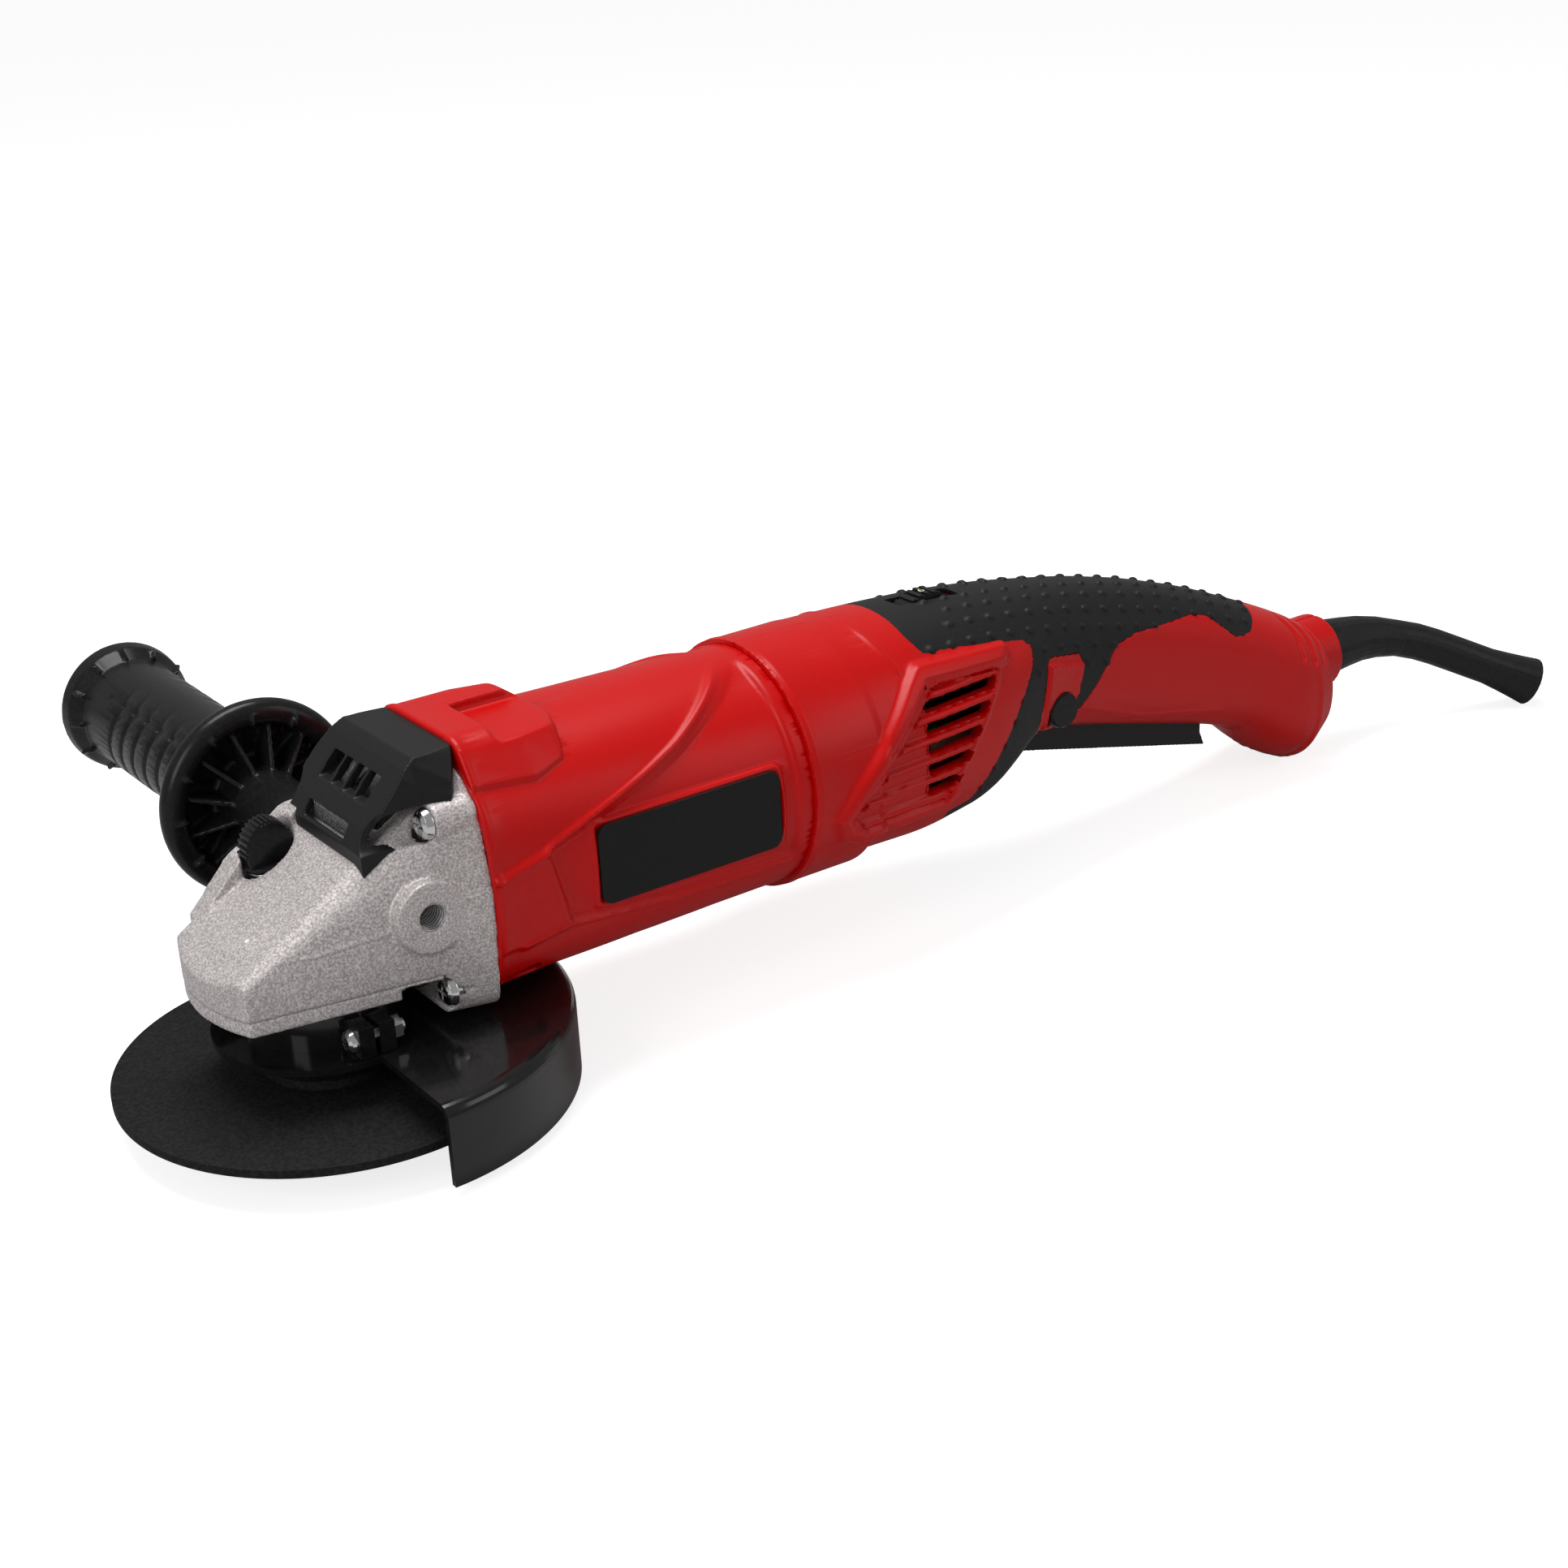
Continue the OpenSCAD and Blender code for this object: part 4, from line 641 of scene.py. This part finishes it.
def carveSideGrip(piece):
    # ribs in the dish of the flange, and grooves across the grip between two border lines
    low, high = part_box("side_handle_grip")
    axisX, axisZ = (low[0] + high[0]) / 2 * perMetre, (low[2] + high[2]) / 2 * perMetre
    mesh = piece.data
    place, normal = vertexRows(mesh, "co"), vertexRows(mesh, "normal")
    along = place[:, 1] * perMetre
    reachX, reachZ = place[:, 0] * perMetre - axisX, place[:, 2] * perMetre - axisZ
    reach, angle = np.hypot(reachX, reachZ), np.arctan2(reachZ, reachX)
    moved = np.zeros(len(place))
    ribs = sideDish["ribs"]
    spoke = np.abs((angle / (2 * math.pi) * ribs + 0.5) % 1 - 0.5) * 2 * math.pi / ribs * reach
    dish = easeIn((reach - sideDish["inner"]) / 2) * easeIn((sideDish["outer"] - reach) / 2)
    dish = dish * (normal[:, 1] < -0.5)
    moved += easeIn(sideCrown * (1 - spoke / sideDish["width"])) * dish * sideDish["height"]
    outer = easeIn((reach - sideSkin["reach"]) / 2) * (along > sideSkin["along"])
    panel = easeIn(1.6 - np.abs(np.sin(angle)) * 2.2 + 0.6)
    for groove in range(sideGrooves["count"]):
        centre = sideGrooves["first"] + groove * sideGrooves["pitch"]
        bend = centre + sideGrooves["sway"] * np.sin(angle * 2)
        line = easeIn(sideCrown * (1 - np.abs(along - bend) / sideGrooves["width"]))
        moved -= line * outer * panel * sideGrooves["depth"]
    span = easeIn((along - sideBorders["start"]) / 3) * easeIn((sideBorders["end"] - along) / 3)
    for border in sideBorders["lines"]:
        gap = np.abs(np.sin(angle) - border) * reach
        moved -= easeIn(sideCrown * (1 - gap / sideBorders["width"])) * outer * span * sideBorders["depth"]
    place += normal * moved[:, None] * mm
    setPlaces(mesh, place)


def softenShell(node, setting, marks=(), extra=None):
    # the faceted shell becomes one even skin, whose edges are then worn round as a moulding's are
    piece = copyNode(node, setting["piece"])
    voxel = setting["voxel"] * mm * 1
    runModifier(piece, "REMESH", mode="VOXEL", voxel_size=voxel, use_smooth_shade=True)
    runModifier(piece, "SMOOTH", factor=0.5, iterations=setting["passes"])
    if node in formOf:
        roundOut(piece, formOf[node])
    if marks:
        carve(piece, marks)
    if extra:
        extra(piece)
    runModifier(piece, "DECIMATE", ratio=setting["keep"])
    smoothByAngle(piece, 50)
    finishPiece(piece, bodyOf[node], slotOf[node], [node])
    print("shell:", setting["piece"], len(piece.data.polygons), "faces")


formOf = {"motor_housing": bodyForm, "handle_shell_left": handleForm, "handle_shell_right": handleForm,
          "grip_left": handleForm, "grip_right": handleForm}
marksOf = {"gear_housing": headMarks, "motor_housing": bodyMarks, "handle_shell_left": shellMarks,
           "handle_shell_right": shellMarks, "grip_left": gripMarks, "grip_right": gripMarks}
extraOf = {"side_handle_grip": carveSideGrip}
for node, setting in shells.items():
    softenShell(node, setting, marksOf.get(node, ()), extraOf.get(node))


lockPad = {"centre": (-4.3, 17.5, 68.6), "reach": 7.6, "rise": 1.36, "floor": 64.9, "width": 6.8,
           "ridges": 17, "ridge": 0.5, "baseReach": 7.5, "baseTall": 1.2, "ringReach": 1.6, "ringWire": 0.4}


def buildLockPad():
    # an arched thumb pad, with one ridge made and copied round the arch
    x, y, z = lockPad["centre"]
    rise, floor = lockPad["rise"], lockPad["floor"]
    arch = addRod((x, y, 0), lockPad["reach"] - lockPad["ridge"], lockPad["width"], "Y", 64, "lockPad")
    arch.scale[2] = rise
    arch.location[2] = z * mm
    placeInMesh(arch)
    roundEdges(arch, 0.5, limit_method="ANGLE", angle_limit=math.radians(50))
    tall = lockPad["baseTall"]
    base = addRod((x, y, floor + tall / 2), lockPad["baseReach"], tall, "Z", 64, "lockBase")
    roundEdges(base, 0.3, limit_method="ANGLE", angle_limit=math.radians(50))
    bpy.ops.mesh.primitive_torus_add(
        major_radius=lockPad["ringReach"] * mm, minor_radius=lockPad["ringWire"] * mm, major_segments=32,
        minor_segments=10, location=((x + 2.2) * mm, (y - 5.2) * mm, (floor + tall) * mm))
    ring = bpy.context.object
    placeInMesh(ring)
    parts = [arch, base, ring]
    high = lockPad["reach"] - 0.35
    for index in range(lockPad["ridges"]):
        turn = math.pi * (index + 0.5) / lockPad["ridges"]
        spot = (x + high * math.cos(turn), y, z + rise * high * math.sin(turn))
        parts.append(addRod(spot, lockPad["ridge"], lockPad["width"] - 0.6, "Y", 12, "ridge"))
    pad = joinPieces(parts, "lockButton")
    trimPiece(pad, (0, 0, floor * mm), (0, 0, 1), clear_inner=True)
    smoothByAngle(pad, 40)
    finishPiece(pad, bodyOf["lock_button"], "gloss_black", ["lock_button"])


buildLockPad()

sideThread = {"hole": (19.8, -34, 58.5), "rings": 8, "pitch": 1.25, "start": 1.2, "radius": 4, "crest": 0.3,
              "lean": 0.05}


def buildSideThread():
    # the thread shows as rings down the wall of the open side hole
    x, y, z = sideThread["hole"]
    rings = []
    for index in range(sideThread["rings"]):
        depth = y + sideThread["start"] + index * sideThread["pitch"]
        bpy.ops.mesh.primitive_torus_add(
            major_radius=sideThread["radius"] * mm, minor_radius=sideThread["crest"] * mm, major_segments=40,
            minor_segments=8, location=(x * mm, depth * mm, z * mm),
            rotation=(math.pi / 2 + sideThread["lean"], 0, 0))
        rings.append(bpy.context.object)
        placeInMesh(rings[-1])
    thread = joinPieces(rings, "sideThread")
    smoothByAngle(thread, 60)
    finishPiece(thread, bodyOf["gear_housing"], "steel")


buildSideThread()

dustScreen = {"low": (-12.5, 77), "high": (12.5, 84.6), "x": 9.3, "wires": (28, 9), "wire": 0.32,
              "shadeSheetLow": (10.4, -13, 76.5), "shadeSheetHigh": (11.2, 13, 84.6)}


def buildDustScreen():
    # a woven screen closes the deflector's lower window, before a thin black sheet that is painted shade for
    # the dark inside behind the window
    wide = dustScreen["high"][0] - dustScreen["low"][0]
    tall = dustScreen["high"][1] - dustScreen["low"][1]
    across, down = dustScreen["wires"]
    middle = (dustScreen["x"] * mm, 0, (dustScreen["low"][1] + tall / 2) * mm)
    bpy.ops.mesh.primitive_grid_add(x_subdivisions=down, y_subdivisions=across, size=1, location=middle,
                                    rotation=(0, math.pi / 2, 0))
    screen = bpy.context.object
    screen.name = "dustScreen"
    screen.scale = (tall * mm, wide * mm, 1)
    placeInMesh(screen)
    runModifier(screen, "WIREFRAME", thickness=dustScreen["wire"] * mm)
    smoothByAngle(screen, 60)
    finishPiece(screen, bodyOf["air_deflector"], "core_steel")
    # this thin black box is painted shade: it stands for the dark inside of the deflector seen through the
    # screen
    shadeSheet = addBox(dustScreen["shadeSheetLow"], dustScreen["shadeSheetHigh"], "paintedShadeSheet")
    roundEdges(shadeSheet, 0.2)
    smoothByAngle(shadeSheet, 40)
    finishPiece(shadeSheet, bodyOf["air_deflector"], "black_plastic")


buildDustScreen()

dialMark = {"text": "6", "height": 4.2, "thick": 0.12, "back": 1.2, "side": 1.4, "sink": 0.1}


def buildDialMark():
    low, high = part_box("speed_dial")
    bpy.ops.object.text_add(location=((low[0] + high[0]) / 2 - dialMark["back"] * mm, -dialMark["side"] * mm,
                                      high[2] - dialMark["sink"] * mm))
    mark = bpy.context.object
    mark.data.body = dialMark["text"]
    mark.data.size = dialMark["height"] * mm
    mark.data.extrude = dialMark["thick"] * mm
    makeActive(mark)
    bpy.ops.object.convert(target="MESH")
    mark = bpy.context.object
    mark.name = "dialMark"
    placeInMesh(mark)
    finishPiece(mark, bodyOf["speed_dial"], "cream_plastic")


buildDialMark()
print("small parts built")


shankEnd = 38.5


def buildHeadScrews():
    # only the heads show; the shanks end where the motor housing begins
    screws = copyNode("head_screws", "headScrews")
    trimPiece(screws, (shankEnd * mm, 0, 0), (1, 0, 0), clear_outer=True)
    roundEdges(screws, 0.35, 3, limit_method="ANGLE", angle_limit=math.radians(35))
    smoothByAngle(screws, 40)
    finishPiece(screws, bodyOf["head_screws"], "chrome_screw", ["head_screws"])


buildHeadScrews()
print("head screws built")


springs = {
    "lock_spring": dict(piece="lockSpring", joint="lock_press", axis=(0, 0, 1), end=0, travel=3.5),
    "trigger_spring": dict(piece="triggerSpring", joint="trigger_pull", axis=(0, 0, 1), end=1, travel=2.7),
    "lock_on_spring": dict(piece="lockOnSpring", joint="lock_on_press", axis=(0, 1, 0), end=1, travel=3.0),
}


def buildSprings():
    # each spring coil is copied from its CAD node and finished; the middle of its fixed end is worked out,
    # but nothing here moves or squeezes the coil
    for node, setting in springs.items():
        coil = copyNode(node, setting["piece"])
        smoothByAngle(coil, 60)
        finishPiece(coil, bodyOf[node], slotOf[node], [node])
        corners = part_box(node)
        anchor = [(a + b) / 2 for a, b in zip(*corners)]
        line = setting["axis"].index(1)
        anchor[line] = corners[setting["end"]][line]
        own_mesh(coil)
        print("spring:", setting["piece"])


buildSprings()


deselectAll()
print("pieces finished")
